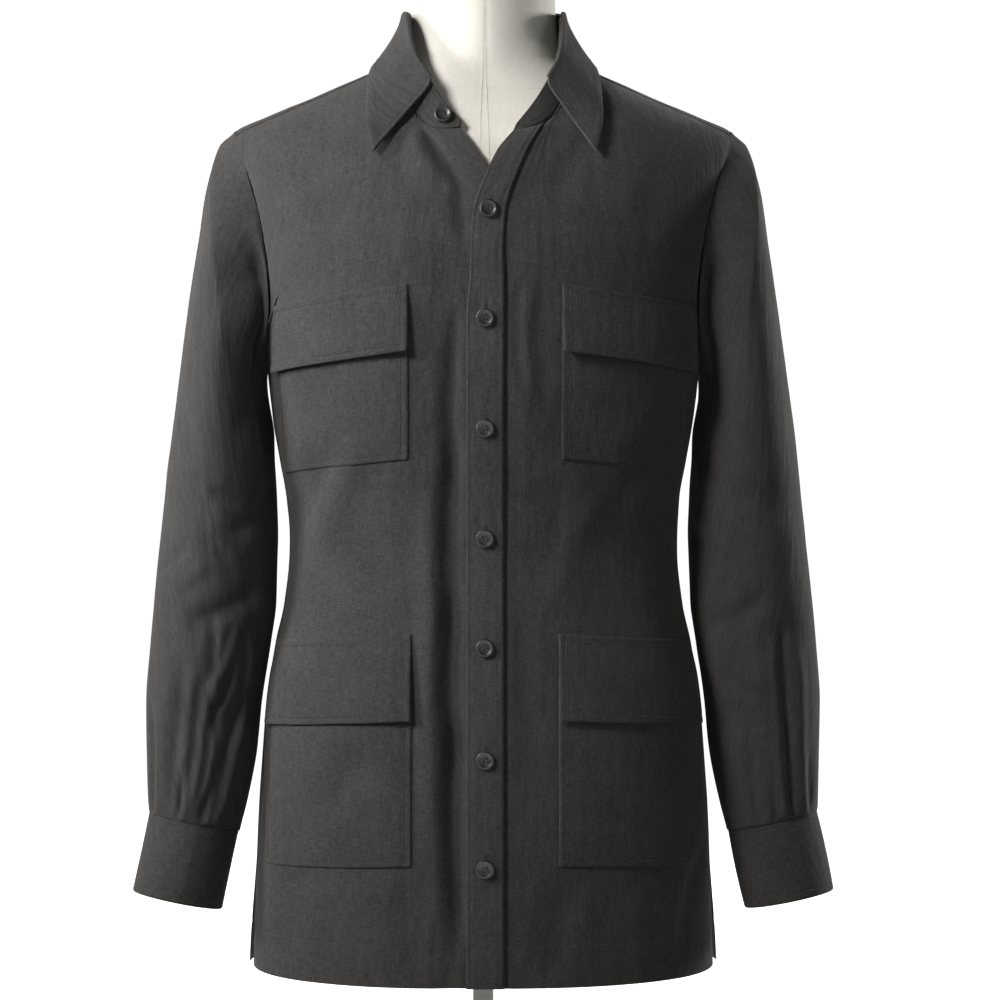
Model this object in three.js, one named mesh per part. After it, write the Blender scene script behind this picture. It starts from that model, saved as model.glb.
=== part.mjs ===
// A man's long-sleeved linen overshirt with four flap pockets, worn open at the collar on a limbless
// dress form that stands on a pole and a round base. Millimetres, Z up, the front faces -Y and the
// wearer's left is +X. The origin is on the floor under the middle of the base.
import * as THREE from "three";

// Driving dimensions
const CLOTH = 1.5; // body and sleeve cloth
const PATCH = 1.2; // pocket, flap and placket cloth laid on a panel
const DOUBLED = 1.9; // collar and cuff cloth, two layers and a stiffener
const SEAM_GAP = 0.3; // between sewn pieces
const HEM_Z = 150;
const UNDERARM_Z = 685;
const BACK_YOKE_Z = 800;
const BACK_STEPS = 14;
const PROFILE_STEPS = 80; // points on a quarter of a level section
const SHOULDER_TIP = { x: 214.5, z: 870.5 };
const PLACKET_EDGE = 15.5; // from the centre to each long edge of the placket
const UNDER_LAP_EDGE = 14; // how far the right front runs on under the placket
const UNDER_LAP_DEPTH = 2.4; // how far the right front lies behind the left one there
const VENT_TOP_Z = 262;
const VENT_FLARE = 4; // how far the back's vent edges stand out from the fronts
const STAND_HEIGHT = 39;
const CUFF_LENGTH = 69;
const CUFF_LAP = 2.6; // step of the cuff's outer end over its inner end
const BUTTON_RADIUS = 7.5;
const BUTTON_THICKNESS = 2.9;
const BUTTON_GAP = 0.5; // thread between a button and its cloth
const BUTTON_SIDES = 12;
const BUTTON_HEIGHTS = [249, 338, 430, 521, 613, 704, 794];
const FORM_BOTTOM_Z = 212;
const FORM_TOP_Z = 1012;
const FORM_SIDES = 28;
const FORM_CLEARANCE = 1.1; // between the form and the cloth that hangs on its shoulders
const FORM_HEIGHTS = [
  FORM_BOTTOM_Z, 222, 262, 312, 362, 412, 460, 508, 556, 604, 652, 700, 748, 790, 820, 845, 860, 868, 875, 884, 893,
  902, 911, 918, 924, 929, 934, 940, 948, 960, 985, 1006, FORM_TOP_Z,
];
const POLE_RADIUS = 9;
const BASE_RADIUS = 168;
const BASE_THICKNESS = 18;

// The worn shirt's outer skin: half width, front and back depth, and how square each level section is.
// Above the shoulder tips the widths run up the shoulder line and on into the neck.
const BODY = [
  { z: 150, half: 199, front: 126, back: 116, square: 2.35 },
  { z: 255, half: 196, front: 125, back: 117, square: 2.35 },
  { z: 340, half: 191, front: 120, back: 113, square: 2.35 },
  { z: 376, half: 188, front: 117, back: 109, square: 2.35 },
  { z: 428, half: 180, front: 112, back: 103, square: 2.35 },
  { z: 463, half: 172.5, front: 108, back: 100, square: 2.35 },
  { z: 508, half: 168, front: 105, back: 98, square: 2.35 },
  { z: 550, half: 170, front: 107, back: 100, square: 2.35 },
  { z: 585, half: 176, front: 111, back: 104, square: 2.35 },
  { z: 620, half: 182, front: 115, back: 109, square: 2.35 },
  { z: 685, half: 190, front: 120, back: 116, square: 2.35 },
  { z: 760, half: 200, front: 121, back: 119, square: 2.35 },
  { z: 790, half: 208, front: 118, back: 118, square: 2.3 },
  { z: 811, half: 215, front: 114, back: 116, square: 2.2 },
  { z: 832, half: 222, front: 108, back: 112, square: 2.1 },
  { z: 850, half: 226, front: 101, back: 107, square: 2.03 },
  { z: 862, half: 222.5, front: 96, back: 103, square: 2.0 },
  { z: 870.5, half: 214.5, front: 91, back: 99, square: 2.0 },
  { z: 881, half: 190.5, front: 85.5, back: 93.5, square: 2.0 },
  { z: 889.5, half: 170.5, front: 82, back: 89.5, square: 2.0 },
  { z: 898, half: 149.5, front: 79.5, back: 85.5, square: 2.0 },
  { z: 907, half: 129, front: 77, back: 81, square: 2.0 },
  { z: 915.5, half: 109, front: 75, back: 76.5, square: 2.0 },
  { z: 921, half: 97, front: 73.5, back: 74, square: 2.0 },
  { z: 931, half: 79, front: 71.5, back: 71, square: 2.0 },
  { z: 945, half: 69.5, front: 69.5, back: 68, square: 2.0 },
  { z: 985, half: 65.5, front: 64.5, back: 63, square: 2.0 },
  { z: 1014, half: 66, front: 63, back: 63, square: 2.0 },
];

// Room between the cloth and the form: in front of it or behind it, and at its sides.
const EASE = [
  { z: 150, facing: 13, side: 13 },
  { z: 340, facing: 12, side: 12 },
  { z: 508, facing: 7, side: 7 },
  { z: 700, facing: 8, side: 8 },
  { z: 800, facing: 6, side: 6 },
  { z: 866, facing: 4.5, side: 0 },
  { z: 893, facing: 7.4, side: 0.3 },
  { z: 912, facing: 7.4, side: 2.3 },
  { z: 934, facing: 4.2, side: 2.6 },
  { z: 955, facing: 4, side: 0.4 },
  { z: 1014, facing: 4, side: 0.4 },
];

// The level rows of a front from the hem to the chest pocket's flap seam, and how far each one drops
// towards the side. Pocket and flap edges lie on rows.
const ROWS = [
  { z: 150, drop: 0 },
  { z: 186, drop: 1 },
  { z: 218, drop: 4 },
  { z: 251, drop: 7 },
  { z: 291, drop: 8 },
  { z: 331, drop: 9 },
  { z: 371, drop: 10 },
  { z: 407, drop: 10.5 },
  { z: 443, drop: 11 },
  { z: 480, drop: 12 },
  { z: 517, drop: 13 },
  { z: 553, drop: 14 },
  { z: 589, drop: 15 },
  { z: 617, drop: 15.5 },
  { z: 645, drop: 16 },
  { z: 680, drop: 20.5 },
  { z: 708, drop: 20.5 },
  { z: 735.5, drop: 20.5 },
];
const HIP_POCKET = { bottom: 3, flap: 6, mouth: 7, top: 8, lift: 2.5 };
const CHEST_POCKET = { bottom: 12, flap: 15, mouth: 16, top: 17, lift: 4.5 };
const UNDERARM_ROW = 16;
const DROP_FROM = 40;
const DROP_OVER = 159;

// Where the pockets' upright edges run, as lengths round the body from the centre front.
const POCKET_EDGES = [
  { z: 150, inner: 61.5, outer: 209 },
  { z: 443, inner: 61.5, outer: 209 },
  { z: 589, inner: 64, outer: 196 },
  { z: 760, inner: 64, outer: 196 },
];
const CENTRE_COLUMNS = [0, 15, 30, 46];
const POCKET_COLUMNS = [0, 0.2, 0.4, 0.57, 0.73, 0.87, 1];
const FIRST_POCKET_COLUMN = 5;
const LAST_POCKET_COLUMN = 11;
const NECKLINE_STEPS = 5;
const SHOULDER_STEPS = 8;
const SHOULDER_SHARE = 0.225; // share of the back yoke seam that faces each shoulder seam

// The right front dips behind the left one where they lap, and comes level again at the neckline.
const LAP_ACROSS = [1, 1, 1, 0.55, 0.15];
const LAP_UPWARDS = [1, 1, 1, 1, 0.85, 0.4, 0];
// The left front's edge rolls outwards above the top button.
const ROLL_ACROSS = [1, 0.75, 0.5, 0.2];
const ROLL_UPWARDS = [0, 0, 0, 1.2, 3.2, 4, 0.6];

// The edges of the two fronts above the flap seam, where the shirt is open: x towards the own side.
const LEFT_OPENING = [
  { x: -13, z: 735.5 },
  { x: -12.4, z: 753 },
  { x: -11.6, z: 776 },
  { x: -9, z: 798 },
  { x: -1, z: 819 },
  { x: 10, z: 842 },
  { x: 24, z: 861 },
];
const RIGHT_OPENING = [
  { x: -14, z: 735.5 },
  { x: -14, z: 753 },
  { x: -14, z: 776 },
  { x: -13, z: 798 },
  { x: -7, z: 819 },
  { x: 5, z: 843 },
  { x: 20, z: 864 },
];

// The neckline of a front from its end to the side of the neck, and the armhole, in front view.
const FRONT_NECKLINE = [
  { x: 36, z: 863 },
  { x: 50, z: 868 },
  { x: 62, z: 881 },
  { x: 70, z: 901 },
  { x: 76, z: 925 },
];
const FRONT_ARMHOLE = [
  { x: 186, z: 692 },
  { x: 182.5, z: 706 },
  { x: 182.3, z: 733 },
  { x: 186, z: 765 },
  { x: 192, z: 797 },
  { x: 202, z: 830 },
  { x: 213, z: 864.5 },
];
const BACK_ARMHOLE = [
  { x: 187, z: 691 },
  { x: 184.5, z: 708 },
  { x: 184, z: 738 },
  { x: 187, z: 770 },
  { x: 193, z: 800 },
];
const YOKE_ARMHOLE_BACK = [
  { x: 202, z: 826 },
  { x: 208.5, z: 850 },
  { x: 213, z: 864.5 },
];
const YOKE_ARMHOLE_FRONT = { x: 214.2, z: 868.3 };
// The neckline of the yoke from the side of the neck to the centre back, by its turn from the front.
const BACK_NECKLINE = [
  { turn: 90, z: 930.5 },
  { turn: 120, z: 936 },
  { turn: 150, z: 940 },
  { turn: 180, z: 941.5 },
];

// Soft folds of the fronts: x and height of the middle, half width, half height, and depth inwards.
const BODY_FOLDS = [
  { x: -30, z: 330, wide: 13, tall: 190, deep: 4 },
  { x: -34, z: 600, wide: 14, tall: 110, deep: 2.5 },
  { x: 32, z: 660, wide: 15, tall: 90, deep: -1.8 },
  { x: -95, z: 500, wide: 26, tall: 40, deep: 3 },
  { x: 110, z: 505, wide: 30, tall: 45, deep: 2.5 },
];

// The sleeve's level sections: outer and inner x, half depth, and how far it hangs forward.
const SLEEVE = [
  { z: 200, out: 302, in: 224, deep: 38, fore: 28 },
  { z: 278, out: 287.5, in: 207.5, deep: 40, fore: 22 },
  { z: 306, out: 291, in: 200, deep: 43, fore: 20 },
  { z: 341, out: 290.5, in: 194.5, deep: 45, fore: 17 },
  { z: 376, out: 291, in: 191.5, deep: 47, fore: 14 },
  { z: 428, out: 288, in: 183.5, deep: 50, fore: 11 },
  { z: 463, out: 285, in: 177.5, deep: 53, fore: 9 },
  { z: 515, out: 280, in: 176, deep: 57, fore: 6 },
  { z: 550, out: 276.5, in: 178, deep: 60, fore: 4 },
  { z: 607, out: 270, in: 183.5, deep: 64, fore: 2 },
  { z: 689, out: 259.5, in: 192.5, deep: 67, fore: 0 },
  { z: 741, out: 252, in: 196, deep: 66, fore: 0 },
  { z: 776, out: 246.5, in: 198, deep: 63, fore: 0 },
  { z: 811, out: 241.5, in: 199, deep: 60, fore: 0 },
  { z: 829, out: 237.5, in: 200, deep: 56, fore: 0 },
  { z: 846, out: 232, in: 201, deep: 47, fore: 0 },
  { z: 860, out: 226, in: 205, deep: 36, fore: 0 },
  { z: 870.5, out: 219, in: 210, deep: 28, fore: 0 },
];
const SLEEVE_RINGS = [0, 0.014, 0.04, 0.08, 0.135, 0.2, 0.28, 0.36, 0.44, 0.52, 0.6, 0.68, 0.76, 0.84, 0.92, 1];
// How soon a sleeve leaves the armhole for its own section: at once on top, late under the arm.
const CAP_BLEND = { top: 0.02, under: 0.2 };
// Folds of the sleeve: height, turn round the sleeve from outside (minus to the front), sizes, depth.
const SLEEVE_FOLDS = [
  { z: 500, turn: -150, wide: 40, tall: 55, deep: 5 },
  { z: 548, turn: -60, wide: 35, tall: 16, deep: 2.5 },
  { z: 440, turn: -85, wide: 40, tall: 20, deep: 3 },
  { z: 365, turn: -110, wide: 36, tall: 18, deep: 3 },
  { z: 310, turn: -45, wide: 16, tall: 40, deep: 3.5 },
  { z: 455, turn: 110, wide: 45, tall: 22, deep: 3 },
  { z: 350, turn: 95, wide: 34, tall: 20, deep: 3 },
];
const CUFF_TOP = { x: 248.8, y: -22, z: 275.3 };
const CUFF_FOOT = { x: 263.3, y: -28, z: 206 };
const CUFF_RADIUS = { across: 39, deep: 38 };
const CUFF_STEPS = 22;
const CUFF_START = 62; // turn from outside where the cuff's inner end lies, on the back
const CUFF_OVERLAP = 30; // degrees by which the ends lie over each other
const PLACKET_LONGITUDE = 16; // the sleeve placket lies on this stretch of the sleeve
const PLACKET_RINGS = 3;

// The stand's height along the neckline, as a share of the whole, from either front end.
const STAND_SHAPE = [0.16, 0.62, 0.92, 1];
const STAND_LEAN = { side: 0.31, back: 0.2 };
const STAND_OPEN = [3, 8, 8, 6, 4, 2]; // how far its top edge lies open at the wearer's left end
const STEEP_GAP = 2.3; // up to the stand where the neckline climbs steeply, 0.3 square to the seam

// The collar leaf over the stand: how far out, how far up, and its share of the way to the free edge.
const LEAF_CREST = 2.7; // clear height over the stand's top edge
const LEAF_FROM = 2; // neckline points between the stand's end and the leaf's end
const LEAF_ROWS = [
  { out: 0, up: LEAF_CREST + DOUBLED, share: 0 },
  { out: 2.6, up: LEAF_CREST + 1.2, share: 0 },
  { out: 4.2, up: -3, share: 0.03 },
  { out: 1.3, up: -2, share: 0.3 },
  { out: -3, up: 0, share: 0.65 },
  { out: 0, up: 0, share: 1 },
];
// The collar leaf's free edge from the tip to the centre back: x, z and how far it stands off the shirt.
const LEAF_EDGE = [
  { x: 91.5, z: 841, off: 8 },
  { x: 98, z: 865, off: 7.5 },
  { x: 98, z: 892, off: 7 },
  { x: 96, z: 914, off: 5.5 },
];
const LEAF_BACK_EDGE = [
  { turn: 90, x: 92.5, y: 6, z: 927 },
  { turn: 120, x: 82, y: 50, z: 928 },
  { turn: 150, x: 46, y: 78, z: 928 },
  { turn: 180, x: 0, y: 87, z: 928 },
];

// Colours
const INK_LINEN = 0x3d3b39;
const CREAM_LINEN = 0xece9e2;
const DARK_HORN = 0x25221f;
const WHITE_LACQUER = 0xe9e8e4;

const smooth = (t) => THREE.MathUtils.smoothstep(t, 0, 1);
const mix = THREE.MathUtils.lerp;
const radians = THREE.MathUtils.degToRad;
const bump = (t) => Math.exp(-t * t);

// A column of a table at any height, through a curve that never overshoots its rows.
function valueAt(table, name, z) {
  const last = table.length - 1;
  let i = 0;
  while (i < last - 1 && z > table[i + 1].z) {
    i += 1;
  }
  const rise = (j) => (table[j + 1][name] - table[j][name]) / (table[j + 1].z - table[j].z);
  const slope = (j) => {
    if (j === 0 || j === last) {
      return rise(j === 0 ? 0 : last - 1);
    }
    const before = rise(j - 1);
    const after = rise(j);
    return before * after <= 0 ? 0 : (2 * before * after) / (before + after);
  };
  const span = table[i + 1].z - table[i].z;
  const t = THREE.MathUtils.clamp((z - table[i].z) / span, 0, 1);
  const a = table[i][name];
  const b = table[i + 1][name];
  const ease = t * t * (3 - 2 * t);
  const start = slope(i) * span * t * (1 - t) * (1 - t);
  const end = slope(i + 1) * span * t * t * (t - 1);
  return a + (b - a) * ease + start + end;
}

function sectionAt(z) {
  return {
    half: valueAt(BODY, "half", z),
    front: valueAt(BODY, "front", z),
    back: valueAt(BODY, "back", z),
    square: valueAt(BODY, "square", z),
  };
}

// How far out of the body's skin a point lies, as a share of its section.
function levelOf(p) {
  const s = sectionAt(p.z);
  const depth = p.y < 0 ? s.front : s.back;
  const across = Math.abs(p.x / s.half) ** s.square;
  const along = Math.abs(p.y / depth) ** s.square;
  return (across + along) ** (1 / s.square) - 1;
}

function slopeOf(p) {
  const step = 0.05;
  const gradient = new THREE.Vector3();
  for (const axis of ["x", "y", "z"]) {
    const up = p.clone();
    const down = p.clone();
    up[axis] += step;
    down[axis] -= step;
    gradient[axis] = (levelOf(up) - levelOf(down)) / (2 * step);
  }
  return gradient;
}

const normalAt = (p) => slopeOf(p).normalize();

// Moves a point square to the body's skin until it lies on it.
function seated(p) {
  const q = p.clone();
  for (let i = 0; i < 12; i += 1) {
    const gradient = slopeOf(q);
    q.addScaledVector(gradient, -levelOf(q) / gradient.lengthSq());
  }
  return q;
}

// A point of the skin from its place in front view or back view.
function facing(x, z, back = false) {
  const s = sectionAt(z);
  const rest = Math.max(0, 1 - Math.abs(x / s.half) ** s.square) ** (1 / s.square);
  return new THREE.Vector3(x, back ? s.back * rest : -s.front * rest, z);
}

// A point of the skin from its turn round the body: 0 at the front, 90 at the wearer's left side.
function turned(turn, z) {
  const s = sectionAt(z);
  const sin = Math.sin(radians(turn));
  const cos = Math.cos(radians(turn));
  const power = 2 / s.square;
  const depth = cos > 0 ? s.front : s.back;
  return new THREE.Vector3(
    Math.sign(sin) * s.half * Math.abs(sin) ** power,
    -Math.sign(cos) * depth * Math.abs(cos) ** power,
    z,
  );
}

// A quarter of a level section as a run of points with the length up to each.
const profiles = new Map();
function profileAt(z, back) {
  const key = z.toFixed(4) + back;
  if (!profiles.has(key)) {
    const points = [];
    let run = 0;
    for (let i = 0; i <= PROFILE_STEPS; i += 1) {
      const share = (90 * i) / PROFILE_STEPS;
      const p = turned(back ? 180 - share : share, z);
      run += i ? p.distanceTo(points[i - 1].p) : 0;
      points.push({ p, run });
    }
    profiles.set(key, points);
  }
  return profiles.get(key);
}

const sideLength = (z, back = false) => profileAt(z, back)[PROFILE_STEPS].run;

// A point of the skin at a length round the body from its centre line.
function along(length, z, back = false) {
  const points = profileAt(z, back);
  const reach = Math.min(Math.abs(length), points[PROFILE_STEPS].run);
  let i = 1;
  while (i < PROFILE_STEPS && points[i].run < reach) {
    i += 1;
  }
  const a = points[i - 1];
  const b = points[i];
  const p = a.p.clone().lerp(b.p, (reach - a.run) / (b.run - a.run));
  p.x *= Math.sign(length) || 1;
  return p;
}

// Grids of points with the direction that faces out of the cloth
const onSkin = (p) => ({ p, n: normalAt(p) });
const mirrored = (v) => new THREE.Vector3(-v.x, v.y, v.z);
const mirroredGrid = (grid) => grid.map((row) => row.map(({ p, n }) => ({ p: mirrored(p), n: mirrored(n) })));
const raised = (grid, height) =>
  grid.map((row, r) => row.map(({ p, n }, c) => ({ p: p.clone().addScaledVector(n, height(r, c, p)), n })));

// Fills a grid between four edges, each given as points, and seats it on the body's skin.
function patch(bottom, top, start, end) {
  const rows = start.length - 1;
  const columns = bottom.length - 1;
  const grid = [];
  for (let r = 0; r <= rows; r += 1) {
    const v = r / rows;
    const row = [];
    for (let c = 0; c <= columns; c += 1) {
      const u = c / columns;
      const p = new THREE.Vector3()
        .addScaledVector(bottom[c], 1 - v)
        .addScaledVector(top[c], v)
        .addScaledVector(start[r], 1 - u)
        .addScaledVector(end[r], u)
        .addScaledVector(bottom[0], -(1 - u) * (1 - v))
        .addScaledVector(bottom[columns], -u * (1 - v))
        .addScaledVector(top[0], -(1 - u) * v)
        .addScaledVector(top[columns], -u * v);
      const edge = r === 0 || r === rows || c === 0 || c === columns;
      row.push(onSkin(edge ? p : seated(p)));
    }
    grid.push(row);
  }
  return grid;
}

// Draws a grid's edges back so that pieces stay apart at their seams.
function trimmed(grid, gap = SEAM_GAP / 2) {
  const rows = grid.length - 1;
  const columns = grid[0].length - 1;
  return grid.map((row, r) =>
    row.map(({ p, n }, c) => {
      const q = p.clone();
      const pull = (other) => q.addScaledVector(other.clone().sub(p).normalize(), gap);
      if (r === 0 || r === rows) {
        pull(grid[r === 0 ? 1 : rows - 1][c].p);
      }
      if (c === 0 || c === columns) {
        pull(row[c === 0 ? 1 : columns - 1].p);
      }
      return { p: q, n };
    }),
  );
}

// The facing directions of a free grid, from its own neighbouring points.
function withNormals(points, around, outward) {
  const rows = points.length;
  const columns = points[0].length;
  return points.map((row, r) =>
    row.map((p, c) => {
      const next = around ? (c + 1) % columns : Math.min(c + 1, columns - 1);
      const back = around ? (c + columns - 1) % columns : Math.max(c - 1, 0);
      const u = row[next].clone().sub(row[back]);
      const v = points[Math.min(r + 1, rows - 1)][c].clone().sub(points[Math.max(r - 1, 0)][c]);
      return { p, n: u.cross(v).normalize().multiplyScalar(outward) };
    }),
  );
}

// A closed wall of even thickness behind a grid of points, as one mesh.
function wall(grid, thickness, around = false) {
  const rows = grid.length;
  const columns = grid[0].length;
  const positions = [];
  for (const inside of [0, thickness]) {
    for (const row of grid) {
      for (const { p, n } of row) {
        positions.push(...p.clone().addScaledVector(n, -inside).toArray());
      }
    }
  }
  const half = rows * columns;
  const at = (r, c, inner) => inner * half + r * columns + (c % columns);
  const faces = [];
  const quad = (a, b, c, d) => faces.push(a, b, c, a, c, d);
  const across = around ? columns : columns - 1;
  for (let c = 0; c < across; c += 1) {
    for (let r = 0; r < rows - 1; r += 1) {
      quad(at(r, c, 0), at(r, c + 1, 0), at(r + 1, c + 1, 0), at(r + 1, c, 0));
      quad(at(r, c, 1), at(r + 1, c, 1), at(r + 1, c + 1, 1), at(r, c + 1, 1));
    }
    quad(at(0, c, 0), at(0, c, 1), at(0, c + 1, 1), at(0, c + 1, 0));
    quad(at(rows - 1, c, 0), at(rows - 1, c + 1, 0), at(rows - 1, c + 1, 1), at(rows - 1, c, 1));
  }
  if (!around) {
    for (let r = 0; r < rows - 1; r += 1) {
      quad(at(r, 0, 0), at(r + 1, 0, 0), at(r + 1, 0, 1), at(r, 0, 1));
      const c = columns - 1;
      quad(at(r, c, 0), at(r, c, 1), at(r + 1, c, 1), at(r + 1, c, 0));
    }
  }
  const a = grid[0][0].p;
  const turn = grid[0][1].p.clone().sub(a).cross(grid[1][0].p.clone().sub(a));
  if (turn.dot(grid[0][0].n) < 0) {
    faces.reverse();
  }
  const geometry = new THREE.BufferGeometry();
  geometry.setAttribute("position", new THREE.Float32BufferAttribute(positions, 3));
  geometry.setIndex(faces);
  geometry.computeVertexNormals();
  return geometry;
}

const material = (color, roughness, metalness = 0) => new THREE.MeshStandardMaterial({ color, roughness, metalness });
const shirt = new THREE.Group();

function add(name, geometry, color, roughness) {
  const mesh = new THREE.Mesh(geometry, material(color, roughness));
  mesh.name = name;
  shirt.add(mesh);
  return mesh;
}

const addCloth = (name, grid, thickness, around) => add(name, wall(grid, thickness, around), INK_LINEN, 0.95);

// Seam points that two pieces share, on the wearer's left
const sideHeights = ROWS.slice(0, UNDERARM_ROW + 1).map(({ z, drop }) => {
  const rowDrop = (at) => z - drop * Math.max(0, (sideLength(at) - DROP_FROM) / DROP_OVER);
  return rowDrop(rowDrop(rowDrop(z)));
});
const frontArmhole = FRONT_ARMHOLE.map(({ x, z }) => facing(x, z));
const backArmhole = BACK_ARMHOLE.map(({ x, z }) => facing(x, z, true));
const underarm = along(sideLength(UNDERARM_Z), UNDERARM_Z);
const shoulderTip = new THREE.Vector3(SHOULDER_TIP.x, 0, SHOULDER_TIP.z);
const yokeArmhole = [
  backArmhole[backArmhole.length - 1],
  ...YOKE_ARMHOLE_BACK.map(({ x, z }) => facing(x, z, true)),
  shoulderTip,
  facing(YOKE_ARMHOLE_FRONT.x, YOKE_ARMHOLE_FRONT.z),
  frontArmhole[frontArmhole.length - 1],
];
const sideNeck = FRONT_NECKLINE[NECKLINE_STEPS - 1];
const shoulderSeam = [];
for (let i = 0; i <= SHOULDER_STEPS; i += 1) {
  const share = i / SHOULDER_STEPS;
  const tip = FRONT_ARMHOLE[FRONT_ARMHOLE.length - 1];
  shoulderSeam.push(facing(mix(sideNeck.x, tip.x, share), mix(sideNeck.z, tip.z, share)));
}

// How far the folds draw a point of a front inwards.
function foldDepth(x, z) {
  let depth = 0;
  for (const fold of BODY_FOLDS) {
    depth += fold.deep * bump((x - fold.x) / fold.wide) * bump((z - fold.z) / fold.tall);
  }
  return depth;
}

// One front from the hem to the yoke seam and neckline, as a grid on the wearer's left.
function frontGrid(edge, opening, side) {
  const grid = ROWS.map((row, r) => {
    const inner = valueAt(POCKET_EDGES, "inner", row.z);
    const outer = valueAt(POCKET_EDGES, "outer", row.z);
    const lengths = [-edge, ...CENTRE_COLUMNS, ...POCKET_COLUMNS.map((t) => mix(inner, outer, t))];
    const points = lengths.map((length) =>
      along(length, row.z - row.drop * Math.max(0, (length - DROP_FROM) / DROP_OVER)),
    );
    const corner = points[points.length - 1];
    if (r <= UNDERARM_ROW) {
      const low = sideHeights[r];
      const z = (corner.z + low) / 2;
      points.push(along((outer + sideLength(z)) / 2, z), along(sideLength(low), low));
    } else {
      points.push(seated(corner.clone().lerp(frontArmhole[0], 0.5)), frontArmhole[0]);
    }
    return points.map(onSkin);
  });
  grid[UNDERARM_ROW][grid[0].length - 1] = onSkin(underarm);
  const chest = grid.pop().map(({ p }) => p);
  chest[0] = facing(opening[0].x, opening[0].z);
  const centre = opening.map(({ x, z }) => facing(x, z));
  const neckline = FRONT_NECKLINE.map(({ x, z }) => facing(x, z));
  const top = [centre[centre.length - 1], ...neckline, ...shoulderSeam.slice(1)];
  grid.push(...patch(chest, top, centre, frontArmhole));
  const last = grid[0].length - 1;
  return raised(grid, (r, c, p) => {
    const open = c === last || r === grid.length - 1 ? 0 : 1;
    return -open * foldDepth(side * p.x, p.z);
  });
}

const leftGrid = frontGrid(PLACKET_EDGE, LEFT_OPENING, 1);
const chestRow = ROWS.length - 1;
const rightGrid = mirroredGrid(
  raised(frontGrid(UNDER_LAP_EDGE, RIGHT_OPENING, -1), (r, c) => {
    const fade = LAP_UPWARDS[Math.max(0, r - chestRow)];
    return -UNDER_LAP_DEPTH * fade * (LAP_ACROSS[c] || 0);
  }),
);
const openGrid = raised(leftGrid, (r, c) => (ROLL_UPWARDS[r - chestRow] || 0) * (ROLL_ACROSS[c] || 0));

addCloth("front_left", trimmed(openGrid), CLOTH);
addCloth("front_right", trimmed(rightGrid), CLOTH);

// What lies on a front, from the front's own points
const cut = (grid, fromRow, toRow, fromColumn, toColumn) =>
  grid.slice(fromRow, toRow + 1).map((row) => row.slice(fromColumn, toColumn + 1));

const placket = cut(openGrid, 0, openGrid.length - 1, 0, 2);
addCloth("front_placket", trimmed(raised(placket, () => SEAM_GAP + PATCH)), PATCH);

function addPocket(name, grid, rows) {
  const patchGrid = cut(grid, rows.bottom, rows.mouth, FIRST_POCKET_COLUMN, LAST_POCKET_COLUMN);
  addCloth(name.replace("*", "pocket"), raised(patchGrid, () => SEAM_GAP + PATCH), PATCH);
  const flap = cut(grid, rows.flap, rows.top, FIRST_POCKET_COLUMN, LAST_POCKET_COLUMN);
  const clear = 2 * (SEAM_GAP + PATCH);
  const heights = [clear + rows.lift, clear + 0.3, SEAM_GAP + PATCH];
  addCloth(name.replace("*", "flap"), raised(flap, (r) => heights[r]), PATCH);
}

addPocket("chest_*_left", leftGrid, CHEST_POCKET);
addPocket("chest_*_right", rightGrid, CHEST_POCKET);
addPocket("hip_*_left", leftGrid, HIP_POCKET);
addPocket("hip_*_right", rightGrid, HIP_POCKET);

// Back, from side seam to side seam, open below the vents
function backRow(end, z) {
  const row = [];
  for (let c = 0; c <= BACK_STEPS; c += 1) {
    const share = 1 - (2 * c) / BACK_STEPS;
    row.push(along(share * end, z, true));
  }
  return row;
}
const lengthTo = (target, z) => {
  const points = profileAt(z, true);
  const after = points.findIndex(({ p }) => p.x >= target.x);
  return points[after < 0 ? PROFILE_STEPS : after].run;
};
const backRows = sideHeights.map((z) => backRow(sideLength(z, true), z).map(onSkin));
backRows[UNDERARM_ROW][0] = onSkin(underarm);
backRows[UNDERARM_ROW][BACK_STEPS] = onSkin(mirrored(underarm));
const yokeSeamEnd = backArmhole[backArmhole.length - 1];
const backTop = backRow(lengthTo(yokeSeamEnd, BACK_YOKE_Z), BACK_YOKE_Z);
backTop[0] = yokeSeamEnd;
backTop[BACK_STEPS] = mirrored(yokeSeamEnd);
const backStart = [underarm, ...backArmhole];
const upperBack = patch(
  backRows.pop().map(({ p }) => p),
  backTop,
  backStart,
  backStart.map(mirrored),
);
const backGrid = raised([...backRows, ...upperBack], (r, c, p) => {
  const vent = c === 0 || c === BACK_STEPS ? 1 : 0;
  return VENT_FLARE * vent * smooth((VENT_TOP_Z - p.z) / (VENT_TOP_Z - HEM_Z));
});
addCloth("back", trimmed(backGrid), CLOTH);

// Yoke, from the back seam over the shoulders to the fronts, round the back of the neck
const backNeckline = BACK_NECKLINE.map(({ turn, z }) => turned(turn, z));
const leftTop = [...shoulderSeam].reverse();
const yokeTop = [...leftTop, ...backNeckline];
yokeTop.push(...[...yokeTop].reverse().slice(1).map(mirrored));
const yokeSteps = yokeTop.length - 1;
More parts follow.
